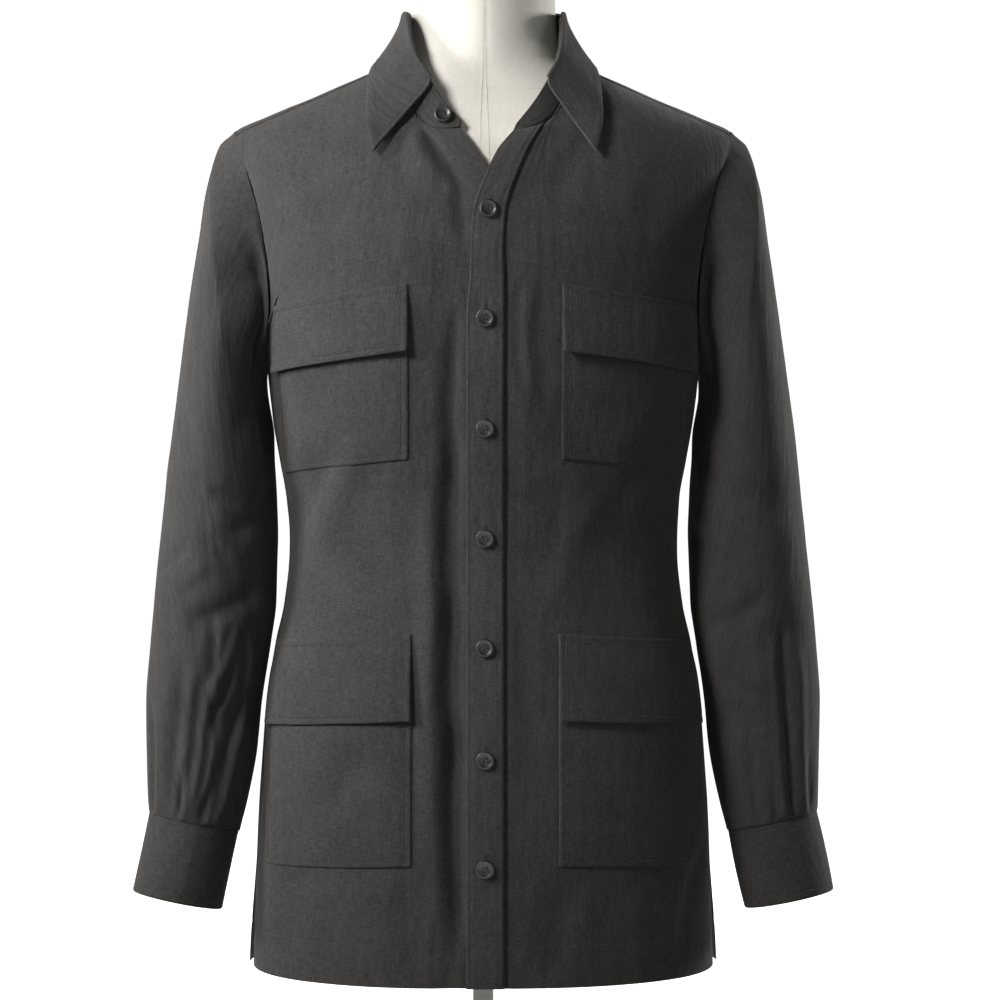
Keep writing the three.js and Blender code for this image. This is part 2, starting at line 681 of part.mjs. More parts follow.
// The grid lines that end on the shoulder seams start close together, so that none cross at the neck.
function yokeShare(c) {
  if (c > yokeSteps / 2) {
    return 1 - yokeShare(yokeSteps - c);
  }
  if (c <= SHOULDER_STEPS) {
    return (SHOULDER_SHARE * c) / SHOULDER_STEPS;
  }
  return mix(SHOULDER_SHARE, 0.5, (c - SHOULDER_STEPS) / (yokeSteps / 2 - SHOULDER_STEPS));
}
const yokeBottom = [];
for (let c = 0; c <= yokeSteps; c += 1) {
  const place = yokeShare(c) * BACK_STEPS;
  const left = Math.min(Math.floor(place), BACK_STEPS - 1);
  yokeBottom.push(backTop[left].clone().lerp(backTop[left + 1], place - left));
}
const yokeGrid = patch(yokeBottom, yokeTop, yokeArmhole, yokeArmhole.map(mirrored));
addCloth("yoke", trimmed(yokeGrid), CLOTH);

// Sleeves
const armhole = [
  shoulderTip,
  yokeArmhole[yokeArmhole.length - 2],
  ...[...frontArmhole].reverse(),
  underarm,
  ...backArmhole,
  ...yokeArmhole.slice(1, 4),
];
const underarmAt = armhole.indexOf(underarm);
const armholeTurns = (() => {
  const count = armhole.length;
  const runs = [0];
  for (let i = 1; i <= count; i += 1) {
    runs.push(runs[i - 1] + armhole[i % count].distanceTo(armhole[i - 1]));
  }
  const front = runs[underarmAt];
  const rest = runs[count] - front;
  return armhole.map((_, i) => (i <= underarmAt ? (-180 * runs[i]) / front : 180 - (180 * (runs[i] - front)) / rest));
})();

const cuffTop = new THREE.Vector3(CUFF_TOP.x, CUFF_TOP.y, CUFF_TOP.z);
const cuffAxis = new THREE.Vector3(CUFF_FOOT.x, CUFF_FOOT.y, CUFF_FOOT.z).sub(cuffTop).normalize();
const cuffBack = new THREE.Vector3(0, 1, 0).addScaledVector(cuffAxis, -cuffAxis.y).normalize();
const cuffOut = new THREE.Vector3().crossVectors(cuffAxis, cuffBack).negate();
if (cuffOut.x < 0) {
  cuffOut.negate();
}

function cuffPoint(turn, down, grow) {
  return cuffTop
    .clone()
    .addScaledVector(cuffAxis, down)
    .addScaledVector(cuffOut, (CUFF_RADIUS.across + grow) * Math.cos(radians(turn)))
    .addScaledVector(cuffBack, (CUFF_RADIUS.deep + grow) * Math.sin(radians(turn)));
}

function sleevePoint(turn, z) {
  const out = valueAt(SLEEVE, "out", z);
  const inner = valueAt(SLEEVE, "in", z);
  const deep = valueAt(SLEEVE, "deep", z);
  const fore = valueAt(SLEEVE, "fore", z);
  let shrink = 0;
  for (const fold of SLEEVE_FOLDS) {
    const away = THREE.MathUtils.euclideanModulo(turn - fold.turn + 180, 360) - 180;
    shrink += fold.deep * bump(away / fold.wide) * bump((z - fold.z) / fold.tall);
  }
  const cos = Math.cos(radians(turn));
  const sin = Math.sin(radians(turn));
  const across = (out - inner) / 2 - shrink;
  return new THREE.Vector3((out + inner) / 2 + across * cos, -fore + (deep - shrink) * sin, z);
}

const sleevePoints = SLEEVE_RINGS.map((t, ring) =>
  armhole.map((start, i) => {
    const turn = armholeTurns[i];
    const foot = cuffPoint(turn, -SEAM_GAP, 1);
    const under = smooth((1 - Math.cos(radians(turn))) / 2);
    const seam = start.clone();
    seam.x += SEAM_GAP * (1 + 2 * under);
    if (ring === 0) {
      return seam;
    }
    const z = mix(start.z, foot.z, t);
    const leave = smooth(t / mix(CAP_BLEND.top, CAP_BLEND.under, under));
    const free = sleevePoint(turn, z);
    const arrive = smooth((t - 0.84) / 0.16);
    return seam.setZ(z).lerp(free, leave).lerp(foot, arrive);
  }),
);
const sleeveFacing = withNormals(sleevePoints, true, 1)[8][0].n.x > 0 ? 1 : -1;
const leftSleeve = withNormals(sleevePoints, true, sleeveFacing);
addCloth("sleeve_left", leftSleeve, CLOTH, true);
addCloth("sleeve_right", mirroredGrid(leftSleeve), CLOTH, true);

// Sleeve plackets, laid on the sleeves' own points above the cuff opening
const ringCount = SLEEVE_RINGS.length;
const sleevePlacket = leftSleeve
  .slice(ringCount - 1 - PLACKET_RINGS, ringCount)
  .map((row) => row.slice(PLACKET_LONGITUDE, PLACKET_LONGITUDE + 2));
const leftSleevePlacket = raised(trimmed(sleevePlacket), () => SEAM_GAP + PATCH);
addCloth("sleeve_placket_left", leftSleevePlacket, PATCH);
addCloth("sleeve_placket_right", mirroredGrid(leftSleevePlacket), PATCH);

// Cuffs, each a band whose outer end laps over its inner end
const cuffPoints = [0, 0.33, 0.67, 1].map((share) => {
  const row = [];
  for (let c = 0; c <= CUFF_STEPS; c += 1) {
    const u = c / CUFF_STEPS;
    const turn = CUFF_START + u * (360 + CUFF_OVERLAP);
    row.push(cuffPoint(turn, share * CUFF_LENGTH, CUFF_LAP * smooth((u - 0.72) / 0.18)));
  }
  return row;
});
const cuffFacing = withNormals(cuffPoints, false, 1)[0][0];
const towardsOut = cuffFacing.p.clone().sub(cuffTop).dot(cuffFacing.n) > 0 ? 1 : -1;
const leftCuff = withNormals(cuffPoints, false, towardsOut);
addCloth("cuff_left", leftCuff, DOUBLED);
addCloth("cuff_right", mirroredGrid(leftCuff), DOUBLED);

// Collar stand, on the neckline from one front end round the neck to the other
const openingEnd = (opening) => facing(opening[opening.length - 1].x, opening[opening.length - 1].z);
const frontNeckline = FRONT_NECKLINE.map(({ x, z }) => facing(x, z));
const neckline = [openingEnd(LEFT_OPENING), ...frontNeckline, ...backNeckline];
neckline.push(...[...neckline].reverse().slice(1).map(mirrored));
neckline[neckline.length - 1] = mirrored(openingEnd(RIGHT_OPENING));
const fromEnd = (i) => Math.min(i, neckline.length - 1 - i);
const standHeight = (i) => STAND_HEIGHT * STAND_SHAPE[Math.min(fromEnd(i), STAND_SHAPE.length - 1)];
const standGap = (i) => (fromEnd(i) > 1 && fromEnd(i) <= NECKLINE_STEPS ? STEEP_GAP : 2 * SEAM_GAP);
const standPoints = [0, 0.5, 1].map((share) =>
  neckline.map((p, i) => {
    const inwards = new THREE.Vector3(-p.x, -p.y, 0).normalize();
    const lean = mix(STAND_LEAN.side, STAND_LEAN.back, smooth(p.y / 60));
    const up = new THREE.Vector3(0, 0, 1).addScaledVector(inwards, lean).normalize();
    const q = p.clone().addScaledVector(up, standGap(i) + share * standHeight(i));
    q.x += share * (STAND_OPEN[i] || 0);
    return q;
  }),
);
const standFacing = withNormals(standPoints, false, 1)[1][9].n.y > 0 ? 1 : -1;
const stand = withNormals(standPoints, false, standFacing);
addCloth("collar_stand", stand, DOUBLED);

// Collar leaf, folded over the stand's top edge and down on the shoulders
const leafEdge = [
  ...LEAF_EDGE.map(({ x, z, off }) => {
    const p = facing(x, z);
    return p.addScaledVector(normalAt(p), off);
  }),
  ...LEAF_BACK_EDGE.map(({ x, y, z }) => new THREE.Vector3(x, y, z)),
];
leafEdge.push(...[...leafEdge].reverse().slice(1).map(mirrored));
const leafTop = stand[2].slice(LEAF_FROM, stand[2].length - LEAF_FROM);
const leafPoints = LEAF_ROWS.map(({ out, up, share }) =>
  leafTop.map(({ p, n }, i) => {
    const middle = p.clone().addScaledVector(n, share === 0 && out === 0 ? -DOUBLED / 2 : 0);
    const outwards = new THREE.Vector3(n.x, n.y, 0).normalize();
    const q = middle.addScaledVector(outwards, out);
    q.z += up;
    return q.lerp(leafEdge[i], share);
  }),
);
const leafFacing = withNormals(leafPoints, false, 1)[3][7].n.y > 0 ? 1 : -1;
const leaf = withNormals(leafPoints, false, leafFacing);
addCloth("collar_leaf", leaf, DOUBLED);

// Buttons: a turned disc with a raised rim
const buttonProfile = [
  [0, 0],
  [6.3, 0],
  [BUTTON_RADIUS, 1.1],
  [BUTTON_RADIUS, 2.2],
  [6.6, BUTTON_THICKNESS],
  [5.6, BUTTON_THICKNESS],
  [4.9, 2.2],
  [0, 2.2],
].map(([r, h]) => new THREE.Vector2(r, h));
const buttonShape = new THREE.LatheGeometry(buttonProfile, BUTTON_SIDES);

function addButton(name, p, n, height) {
  const button = add(name, buttonShape, DARK_HORN, 0.35);
  button.position.copy(p).addScaledVector(n, height);
  button.quaternion.setFromUnitVectors(new THREE.Vector3(0, 1, 0), n);
}

// The middle line of the placket, at a height
const MIDDLE_COLUMN = 1;
function onPlacket(z) {
  const r = placket.findIndex((row) => row[MIDDLE_COLUMN].p.z > z);
  const a = placket[r - 1][MIDDLE_COLUMN];
  const b = placket[r][MIDDLE_COLUMN];
  const share = (z - a.p.z) / (b.p.z - a.p.z);
  return { p: a.p.clone().lerp(b.p, share), n: a.n.clone().lerp(b.n, share).normalize() };
}

BUTTON_HEIGHTS.forEach((z, i) => {
  const { p, n } = onPlacket(z);
  addButton("button_" + (i + 1), p, n, SEAM_GAP + PATCH + BUTTON_GAP);
});
const standSpot = stand[1][stand[1].length - 2];
addButton("collar_button", standSpot.p, standSpot.n, BUTTON_GAP);
const cuffButtonTurn = CUFF_START + CUFF_OVERLAP / 2;
const cuffSpot = cuffPoint(cuffButtonTurn, CUFF_LENGTH / 2, CUFF_LAP + BUTTON_GAP);
const cuffCentre = cuffTop.clone().addScaledVector(cuffAxis, CUFF_LENGTH / 2);
const cuffNormal = cuffSpot.clone().sub(cuffCentre).normalize();
addButton("cuff_button_left", cuffSpot, cuffNormal, 0);
addButton("cuff_button_right", mirrored(cuffSpot), mirrored(cuffNormal), 0);

// Dress form: the shirt's own sections drawn in, with the neck on top, closed at both ends
function formPoint(turn, z) {
  const p = turned(turn, z);
  const n = normalAt(p);
  const facingShare = Math.min(1, 2 * Math.abs(Math.cos(radians(turn))));
  const ease = mix(valueAt(EASE, "side", z), valueAt(EASE, "facing", z), facingShare);
  const inset = CLOTH + FORM_CLEARANCE + ease;
  return p.addScaledVector(n, -inset);
}

function formGeometry() {
  const positions = [];
  const faces = [];
  FORM_HEIGHTS.forEach((z) => {
    const level = z === FORM_BOTTOM_Z || z === FORM_TOP_Z;
    for (let i = 0; i < FORM_SIDES; i += 1) {
      const p = formPoint((360 * i) / FORM_SIDES, z);
      const draw = level ? 0.94 : 1;
      positions.push(p.x * draw, p.y * draw, z === FORM_BOTTOM_Z || z >= 935 ? z : p.z);
    }
  });
  const rings = FORM_HEIGHTS.length;
  for (let r = 0; r < rings - 1; r += 1) {
    for (let i = 0; i < FORM_SIDES; i += 1) {
      const next = (i + 1) % FORM_SIDES;
      const a = r * FORM_SIDES + i;
      const b = r * FORM_SIDES + next;
      const c = b + FORM_SIDES;
      const d = a + FORM_SIDES;
      faces.push(a, b, c, a, c, d);
    }
  }
  for (let i = 1; i < FORM_SIDES - 1; i += 1) {
    const top = (rings - 1) * FORM_SIDES;
    faces.push(0, i + 1, i, top, top + i, top + i + 1);
  }
  const geometry = new THREE.BufferGeometry();
  geometry.setAttribute("position", new THREE.Float32BufferAttribute(positions, 3));
  geometry.setIndex(faces);
  geometry.computeVertexNormals();
  return geometry;
}

add("dress_form", formGeometry(), CREAM_LINEN, 0.9);

// Pole and base, turned about the upright axis
function turnedSolid(profile, sides) {
  const geometry = new THREE.LatheGeometry(
    profile.map(([r, h]) => new THREE.Vector2(r, h)),
    sides,
  );
  geometry.rotateX(Math.PI / 2);
  return geometry;
}

const poleTop = FORM_BOTTOM_Z - SEAM_GAP;
const poleFoot = BASE_THICKNESS + SEAM_GAP;
add(
  "stand_pole",
  turnedSolid(
    [
      [0, poleFoot],
      [POLE_RADIUS + 10, poleFoot],
      [POLE_RADIUS + 10, poleFoot + 6],
      [POLE_RADIUS, poleFoot + 18],
      [POLE_RADIUS, poleTop - 12],
      [POLE_RADIUS + 14, poleTop - 3],
      [POLE_RADIUS + 14, poleTop],
      [0, poleTop],
    ],
    16,
  ),
  WHITE_LACQUER,
  0.4,
);
add(
  "stand_base",
  turnedSolid(
    [
      [0, 0],
      [BASE_RADIUS - 3, 0],
      [BASE_RADIUS, 3],
      [BASE_RADIUS, 8],
      [BASE_RADIUS - 6, 13],
      [60, BASE_THICKNESS],
      [0, BASE_THICKNESS],
    ],
    48,
  ),
  WHITE_LACQUER,
  0.4,
);

export default shirt;
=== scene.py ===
import math
from copy import copy
from functools import lru_cache, partial

import bmesh
import bpy
import numpy as np
from bpy.props import FloatProperty, FloatVectorProperty, PointerProperty, StringProperty
from mathutils import Matrix, Vector


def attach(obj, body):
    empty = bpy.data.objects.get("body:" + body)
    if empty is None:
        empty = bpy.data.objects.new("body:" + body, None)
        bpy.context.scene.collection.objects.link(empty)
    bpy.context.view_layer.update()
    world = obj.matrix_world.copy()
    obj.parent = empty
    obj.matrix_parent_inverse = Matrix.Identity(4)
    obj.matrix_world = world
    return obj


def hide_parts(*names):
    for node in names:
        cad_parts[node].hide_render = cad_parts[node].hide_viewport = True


bl_info = {
    "name": "Linen overshirt on a dress form",
    "version": (1, 0, 0),
    "blender": (4, 5, 0),
    "location": "View3D > Sidebar > Overshirt",
    "description": "Dresses the packed overshirt in woven linen with its folds, stitching and buttons",
    "category": "Object",
}

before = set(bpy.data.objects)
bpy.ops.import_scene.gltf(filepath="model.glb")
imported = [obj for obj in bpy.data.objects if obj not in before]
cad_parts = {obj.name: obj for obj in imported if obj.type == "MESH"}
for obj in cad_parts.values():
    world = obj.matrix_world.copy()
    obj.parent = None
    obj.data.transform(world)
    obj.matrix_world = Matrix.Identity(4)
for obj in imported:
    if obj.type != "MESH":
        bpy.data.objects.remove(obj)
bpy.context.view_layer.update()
MM = 0.001


# Sizes, in millimetres as in the part. The front faces -Y and the wearer's left is +X.


def table(names, *rows):
    """A table whose columns are looked up by name."""
    return dict(zip(names.split(), np.array(rows, float).T))


# The worn shirt's outer skin: half width, depths to the front and back, and how square each section is
BODY = table(
    "z half front back square",
    (150, 199, 126, 116, 2.35),
    (255, 196, 125, 117, 2.35),
    (340, 191, 120, 113, 2.35),
    (376, 188, 117, 109, 2.35),
    (428, 180, 112, 103, 2.35),
    (463, 172.5, 108, 100, 2.35),
    (508, 168, 105, 98, 2.35),
    (550, 170, 107, 100, 2.35),
    (585, 176, 111, 104, 2.35),
    (620, 182, 115, 109, 2.35),
    (685, 190, 120, 116, 2.35),
    (760, 200, 121, 119, 2.35),
    (790, 208, 118, 118, 2.3),
    (811, 215, 114, 116, 2.2),
    (832, 222, 108, 112, 2.1),
    (850, 226, 101, 107, 2.03),
    (862, 222.5, 96, 103, 2),
    (870.5, 214.5, 91, 99, 2),
    (881, 190.5, 85.5, 93.5, 2),
    (889.5, 170.5, 82, 89.5, 2),
    (898, 149.5, 79.5, 85.5, 2),
    (907, 129, 77, 81, 2),
    (915.5, 109, 75, 76.5, 2),
    (921, 97, 73.5, 74, 2),
    (931, 79, 71.5, 71, 2),
    (945, 69.5, 69.5, 68, 2),
    (985, 65.5, 64.5, 63, 2),
    (1014, 66, 63, 63, 2),
)
# Room between the cloth and the form, facing front or back and at the sides
EASE = table(
    "z facing side",
    (150, 13, 13),
    (340, 12, 12),
    (508, 7, 7),
    (700, 8, 8),
    (800, 6, 6),
    (866, 4.5, 0),
    (893, 7.4, 0.3),
    (912, 7.4, 2.3),
    (934, 4.2, 2.6),
    (955, 4, 0.4),
    (1014, 4, 0.4),
)
# Level rows of a front and how far each one drops towards the side
ROWS = np.array(
    [
        (150, 0), (186, 1), (218, 4), (251, 7), (291, 8), (331, 9), (371, 10), (407, 10.5), (443, 11),
        (480, 12), (517, 13), (553, 14), (589, 15), (617, 15.5), (645, 16), (680, 20.5), (708, 20.5),
        (735.5, 20.5),
    ],
    float,
)
DROP_FROM = 40
DROP_OVER = 159
UNDERARM_ROW = 16
UNDERARM_Z = 685
CHEST_ROW = len(ROWS) - 1
POCKET_EDGES = table(
    "z inner outer",
    (150, 61.5, 209),
    (443, 61.5, 209),
    (589, 64, 196),
    (760, 64, 196),
)
CENTRE_COLUMNS = (0, 15, 30, 46)
POCKET_COLUMNS = (0, 0.2, 0.4, 0.57, 0.73, 0.87, 1)
FIRST_POCKET_COLUMN = 5
LAST_POCKET_COLUMN = 11
PLACKET_EDGE = 15.5
UNDER_LAP_EDGE = 14
UNDER_LAP_DEPTH = 2.4
PLACKET_TILT = 1.0  # how much further its inner edge stands off the front
PLACKET_GROOVE_X = 18  # a groove in the front along the placket's inner edge
PLACKET_GROOVE_DEPTH = 1.3
LAP_ACROSS = (1, 1, 1, 0.55, 0.15, 0)
LAP_UPWARDS = (1, 1, 1, 1, 0.85, 0.4, 0)
ROLL_ACROSS = (1, 0.75, 0.5, 0.2, 0)
ROLL_UPWARDS = (0, 0, 0, 1.2, 3.2, 4, 0.6)
# Rows at each pocket's bottom, its flap's free edge, its mouth and its flap's seam; width; and how far
# the flap stands off
POCKETS = {
    "chest": {"bottom": 12, "flap": 15, "mouth": 16, "top": 17, "wide": 132, "lift": 4.5},
    "hip": {"bottom": 3, "flap": 6, "mouth": 7, "top": 8, "wide": 147.5, "lift": 2.5},
}
POCKET_PLACES = (FIRST_POCKET_COLUMN, LAST_POCKET_COLUMN)
PLACKET_WIDTH = 31
PLACKET_STITCH = 3.5  # from the placket's edges to its stitching

# Edges in front view (x, z), on the wearer's left
LEFT_OPENING = ((-13, 735.5), (-12.4, 753), (-11.6, 776), (-9, 798), (-1, 819), (10, 842), (24, 861))
RIGHT_OPENING = ((-14, 735.5), (-14, 753), (-14, 776), (-13, 798), (-7, 819), (5, 843), (20, 864))
FRONT_NECKLINE = ((36, 863), (50, 868), (62, 881), (70, 901), (76, 925))
FRONT_ARMHOLE = ((186, 692), (182.5, 706), (182.3, 733), (186, 765), (192, 797), (202, 830), (213, 864.5))
BACK_ARMHOLE = ((187, 691), (184.5, 708), (184, 738), (187, 770), (193, 800))
YOKE_ARMHOLE_BACK = ((202, 826), (208.5, 850), (213, 864.5))
YOKE_ARMHOLE_FRONT = (214.2, 868.3)
SHOULDER_TIP = (214.5, 0, 870.5)
BACK_NECKLINE = ((90, 930.5), (120, 936), (150, 940), (180, 941.5))  # turn from the front, z
SHOULDER_STEPS = 8
SHOULDER_SHARE = 0.225
BACK_STEPS = 14
BACK_YOKE_Z = 800
VENT_TOP_Z = 262
VENT_FLARE = 4
HEM_Z = 150

# The sleeve's level sections: outer and inner x, half depth, and how far it hangs forward
SLEEVE = table(
    "z out in deep fore",
    (200, 302, 224, 38, 28),
    (278, 287.5, 207.5, 40, 22),
    (306, 291, 200, 43, 20),
    (341, 290.5, 194.5, 45, 17),
    (376, 291, 191.5, 47, 14),
    (428, 288, 183.5, 50, 11),
    (463, 285, 177.5, 53, 9),
    (515, 280, 176, 57, 6),
    (550, 276.5, 178, 60, 4),
    (607, 270, 183.5, 64, 2),
    (689, 259.5, 192.5, 67, 0),
    (741, 252, 196, 66, 0),
    (776, 246.5, 198, 63, 0),
    (811, 241.5, 199, 60, 0),
    (829, 237.5, 200, 56, 0),
    (846, 232, 201, 47, 0),
    (860, 226, 205, 36, 0),
    (870.5, 219, 210, 28, 0),
)
CAP_BLEND = (0.02, 0.2)
CUFF_TOP = np.array((248.8, -22, 275.3))
CUFF_FOOT = np.array((263.3, -28, 206))
CUFF_ACROSS = 39
CUFF_DEEP = 38
CUFF_LENGTH = 69
CUFF_LAP = 2.6
CUFF_LAP_FROM = 0.72  # where the outer end starts to rise over the inner one, as a share of the girth
CUFF_LAP_OVER = 0.18
CUFF_START = 62
CUFF_OVERLAP = 30
PLACKET_LONGITUDE = 16  # the column where the sleeve's placket starts
SLEEVE_PLACKET_RINGS = 3
SLEEVE_PLACKET_SIZE = (140, 12)
SLEEVE_FINE = (12, 9)
SLEEVE_GATHER = 0.84  # share of its length where it starts to draw in to the cuff
SLEEVE_GIRTH = 0.96  # millimetres round the sleeve for each degree of turn
SLEEVE_RINGS = (0, 0.014, 0.04, 0.08, 0.135, 0.2, 0.28, 0.36, 0.44, 0.52, 0.6, 0.68, 0.76, 0.84, 0.92, 1)

# Collar stand and leaf
STAND_HEIGHT = 39
STAND_LENGTH = 440
LEAF_DEPTH = 62
LEAF_LENGTH = 470
STAND_SHAPE = (0.16, 0.62, 0.92, 1)
STAND_LEAN = (0.31, 0.2)
STAND_OPEN = (3, 8, 8, 6, 4, 2)  # how far its top edge lies open at the wearer's left end
STEEP_GAP = 2.3
LEAF_CREST = 2.7
LEAF_FROM = 2
LEAF_EDGE = ((91.5, 841, 8), (98, 865, 7.5), (98, 892, 7), (96, 914, 5.5))
LEAF_BACK_EDGE = ((92.5, 6, 927), (82, 50, 928), (46, 78, 928), (0, 87, 928))

# Cloth and makings
SEAM_GAP = 0.3
PATCH = 1.2
PATCH_BASE = SEAM_GAP + PATCH  # from a panel's skin to the outside of a patch laid on it
DOUBLED = 1.9
CLOTH_SHOWN = 1.0  # thickness of the single cloth as it is drawn
HEM_DEPTH = 34
EDGE_STITCH = 6
EDGE_LINE = 5  # the grid line that spread() lays under the stitching
BUTTON_RADIUS = 7.5
BUTTON_THICKNESS = 2.9
BUTTON_GAP = 0.5
BUTTON_HOLE_OFF = 1.45  # from the button's middle, both ways
BUTTON_HEIGHTS = (249, 338, 430, 521, 613, 704, 794)
FORM_BOTTOM_Z = 212
FORM_TOP_Z = 1012
FORM_INSET = 2.6
POLE_RADIUS = 9
BASE_RADIUS = 168
FLOOR_RADIUS = 9000
DOME_RADIUS = 8800
BASE_THICKNESS = 18
FORM_ROUNDING = 6
FORM_SIDES = 120
NECK_SEAM_Z = 903  # in front; it rises towards the back
NECK_SEAM_RISE = 44

# Folds pressed and drawn into the cloth by wearing: start, end, half width and depth inwards.
# On the fronts and the back they are x and z as seen, on the sleeves turn times girth and z.
SOFT_HOLLOWS = (  # x, z, half width, half height, depth: the large hollows of the fronts
    (-29, 330, 12, 190, 3.4),
    (-34, 600, 14, 110, 2.5),
    (32, 660, 15, 90, -1.8),
    (-95, 500, 26, 40, 3),
    (110, 505, 30, 45, 2.5),
)
FRONT_FOLDS = (
    (-24, 705, -26, 560, 6, 2.2),
    (-26, 600, -26, 430, 7, 3.4),
    (-27, 480, -24, 330, 7, 4.2),
    (-25, 370, -21, 190, 6.5, 4.4),
    (-44, 560, -44, 260, 9, -1.8),
    (-103, 600, -140, 505, 12, -2.6),
    (-122, 600, -160, 520, 10, 1.6),
    (-92, 350, -126, 292, 15, 2.4),
    (-50, 864, -19, 818, 5.5, 3.4),
    (-20, 818, -16, 770, 6, 1.6),
    (-62, 858, -40, 812, 9, -1.6),
    (-170, 640, -128, 560, 11, 1.8),
    (-60, 240, -52, 165, 16, 1.7),
    (-150, 250, -168, 165, 12, 2.0),
    (27, 735, 33, 640, 6, 1.6),
    (47, 730, 50, 628, 7, 1.3),
    (60, 640, 118, 560, 14, 1.8),
    (172, 640, 118, 552, 10, 2.0),
    (95, 560, 60, 470, 12, -1.6),
    (30, 470, 40, 330, 9, 1.2),
    (186, 257, 166, 168, 7, 2.6),
    (70, 235, 58, 160, 15, 1.8),
    (125, 225, 140, 160, 14, -1.4),
    (90, 860, 60, 800, 12, 1.3),
    (-150, 850, -120, 780, 14, 1.2),
    (160, 846, 135, 775, 12, 1.4),
)
BACK_FOLDS = (
    (-58, 792, -66, 560, 13, 2.6),
    (-36, 790, -40, 640, 9, -1.4),
    (61, 790, 54, 600, 12, 2.4),
    (88, 770, 96, 560, 11, -1.7),
    (-150, 690, -96, 585, 14, 2.6),
    (152, 686, 90, 570, 13, 2.8),
    (-130, 640, -60, 525, 12, -2.0),
    (118, 600, 40, 500, 13, 2.0),
    (-20, 520, -34, 250, 15, 2.2),
    (34, 470, 48, 190, 14, 2.6),
    (-96, 470, -110, 180, 14, -2.4),
    (120, 440, 128, 200, 15, 2.2),
    (-150, 300, -160, 165, 12, 2.0),
)
YOKE_FOLDS = (
    (-150, 880, -190, 850, 8, 0.9),
    (150, 880, 186, 850, 9, 0.8),
    (-70, 880, -90, 820, 12, 0.8),
    (75, 880, 60, 820, 12, 0.9),
)
SLEEVE_HOLLOWS = (  # z, turn, half width, half height, depth
    (500, -150, 40, 55, 5),
    (548, -60, 35, 16, 2.5),
    (440, -85, 40, 20, 3),
    (365, -110, 36, 18, 3),
    (310, -45, 16, 40, 3.5),
    (455, 110, 45, 22, 3),
    (350, 95, 34, 20, 3),
)
# Turn and z at both ends; the turn is 0 outside, -90 in front and 90 behind
LEFT_SLEEVE_FOLDS = (
    (-84, 782, -112, 738, 6, 5.5),
    (-100, 756, -140, 664, 8, 9.0),
    (-128, 696, -160, 585, 12, 5.0),
    (-66, 445, -71, 350, 4.5, 2.8),
    (-71, 366, -60, 276, 4.5, 3.8),
    (-52, 430, -50, 300, 8, -2.4),
    (-94, 450, -92, 340, 10, -1.8),
    (-112, 335, -104, 278, 5, 2.0),
    (-90, 326, -84, 276, 4, 1.6),
    (-40, 350, -30, 272, 5, 1.6),
    (-150, 590, -95, 548, 9, 2.2),
    (-165, 540, -110, 512, 8, -2.0),
    (-150, 440, -80, 470, 9, 2.4),
    (-135, 405, -85, 380, 8, 1.8),
    (-120, 345, -70, 315, 8, 2.0),
    (-100, 780, -70, 700, 12, 1.6),
    (-150, 700, -120, 610, 12, 1.8),
    (-55, 800, -35, 720, 12, -1.3),
    (60, 560, 120, 500, 10, 2.6),
    (50, 500, 130, 455, 9, -1.9),
    (70, 420, 130, 385, 9, 2.2),
    (80, 690, 130, 610, 12, 2.0),
    (90, 345, 60, 285, 7, 2.2),
    (130, 330, 120, 280, 6, 2.2),
    (20, 640, 60, 560, 14, 1.4),
)
RIGHT_SLEEVE_FOLDS = (
    (-72, 796, -112, 738, 6, 6.5),
    (-100, 758, -142, 668, 8, 7.0),
    (-128, 700, -160, 585, 12, 5.5),
    (-92, 452, -98, 402, 4, 1.7),
    (-112, 446, -98, 398, 4, 1.7),
    (-126, 440, -134, 392, 4.5, 1.8),
    (-118, 408, -104, 366, 4, 2.3),
    (-92, 400, -108, 352, 4, 1.9),
    (-136, 384, -122, 340, 4, 1.8),
    (-100, 362, -94, 316, 3.5, 2.2),
    (-122, 350, -114, 298, 4, 1.8),
    (-74, 335, -66, 276, 3.5, 2.4),
    (-104, 322, -96, 276, 4, 1.6),
    (-78, 520, -104, 500, 5, 1.4),
    (-84, 560, -118, 545, 6, 1.6),
    (-124, 470, -150, 420, 6, 1.6),
    (-30, 376, -22, 272, 5, 2.8),
    (-50, 390, -40, 285, 8, -2.0),
    (-70, 420, -62, 330, 6, 1.8),
    (-88, 400, -80, 318, 6, 2.4),
    (-112, 440, -86, 345, 8, -1.8),
    (-64, 512, -30, 494, 5, 1.8),
    (-84, 498, -48, 478, 6, -1.4),
    (-160, 560, -100, 520, 10, 2.4),
    (-140, 480, -70, 447, 9, 2.6),
    (-130, 372, -100, 300, 8, 2.2),
    (-96, 790, -76, 690, 13, 1.5),
    (-145, 690, -115, 600, 12, 1.9),
    (-50, 760, -42, 640, 11, -1.2),
    (56, 550, 118, 512, 10, 2.4),
    (60, 486, 128, 440, 9, 2.3),
    (76, 400, 132, 372, 9, -2.0),
    (84, 700, 128, 620, 12, 1.8),
    (96, 340, 70, 284, 7, 2.3),
    (24, 600, 56, 520, 13, 1.5),
)


# Shape of the worn shirt


def at(rows, name, z):
    """A column of a table at any height, through a curve that never overshoots its rows."""
    heights = rows["z"]
    values = rows[name]
    rise = np.diff(values) / np.diff(heights)
    slope = np.zeros(len(values))
    slope[0] = rise[0]
    slope[-1] = rise[-1]
    same = rise[:-1] * rise[1:]
    total = np.where(same > 0, rise[:-1] + rise[1:], 1.0)
    slope[1:-1] = np.where(same > 0, 2 * same / total, 0.0)
    z = np.asarray(z, float)
    i = np.clip(np.searchsorted(heights, z) - 1, 0, len(heights) - 2)
    span = heights[i + 1] - heights[i]
    t = np.clip((z - heights[i]) / span, 0, 1)
    ease = t * t * (3 - 2 * t)
    bend = slope[i] * span * t * (1 - t) ** 2 + slope[i + 1] * span * t * t * (t - 1)
    return values[i] + (values[i + 1] - values[i]) * ease + bend


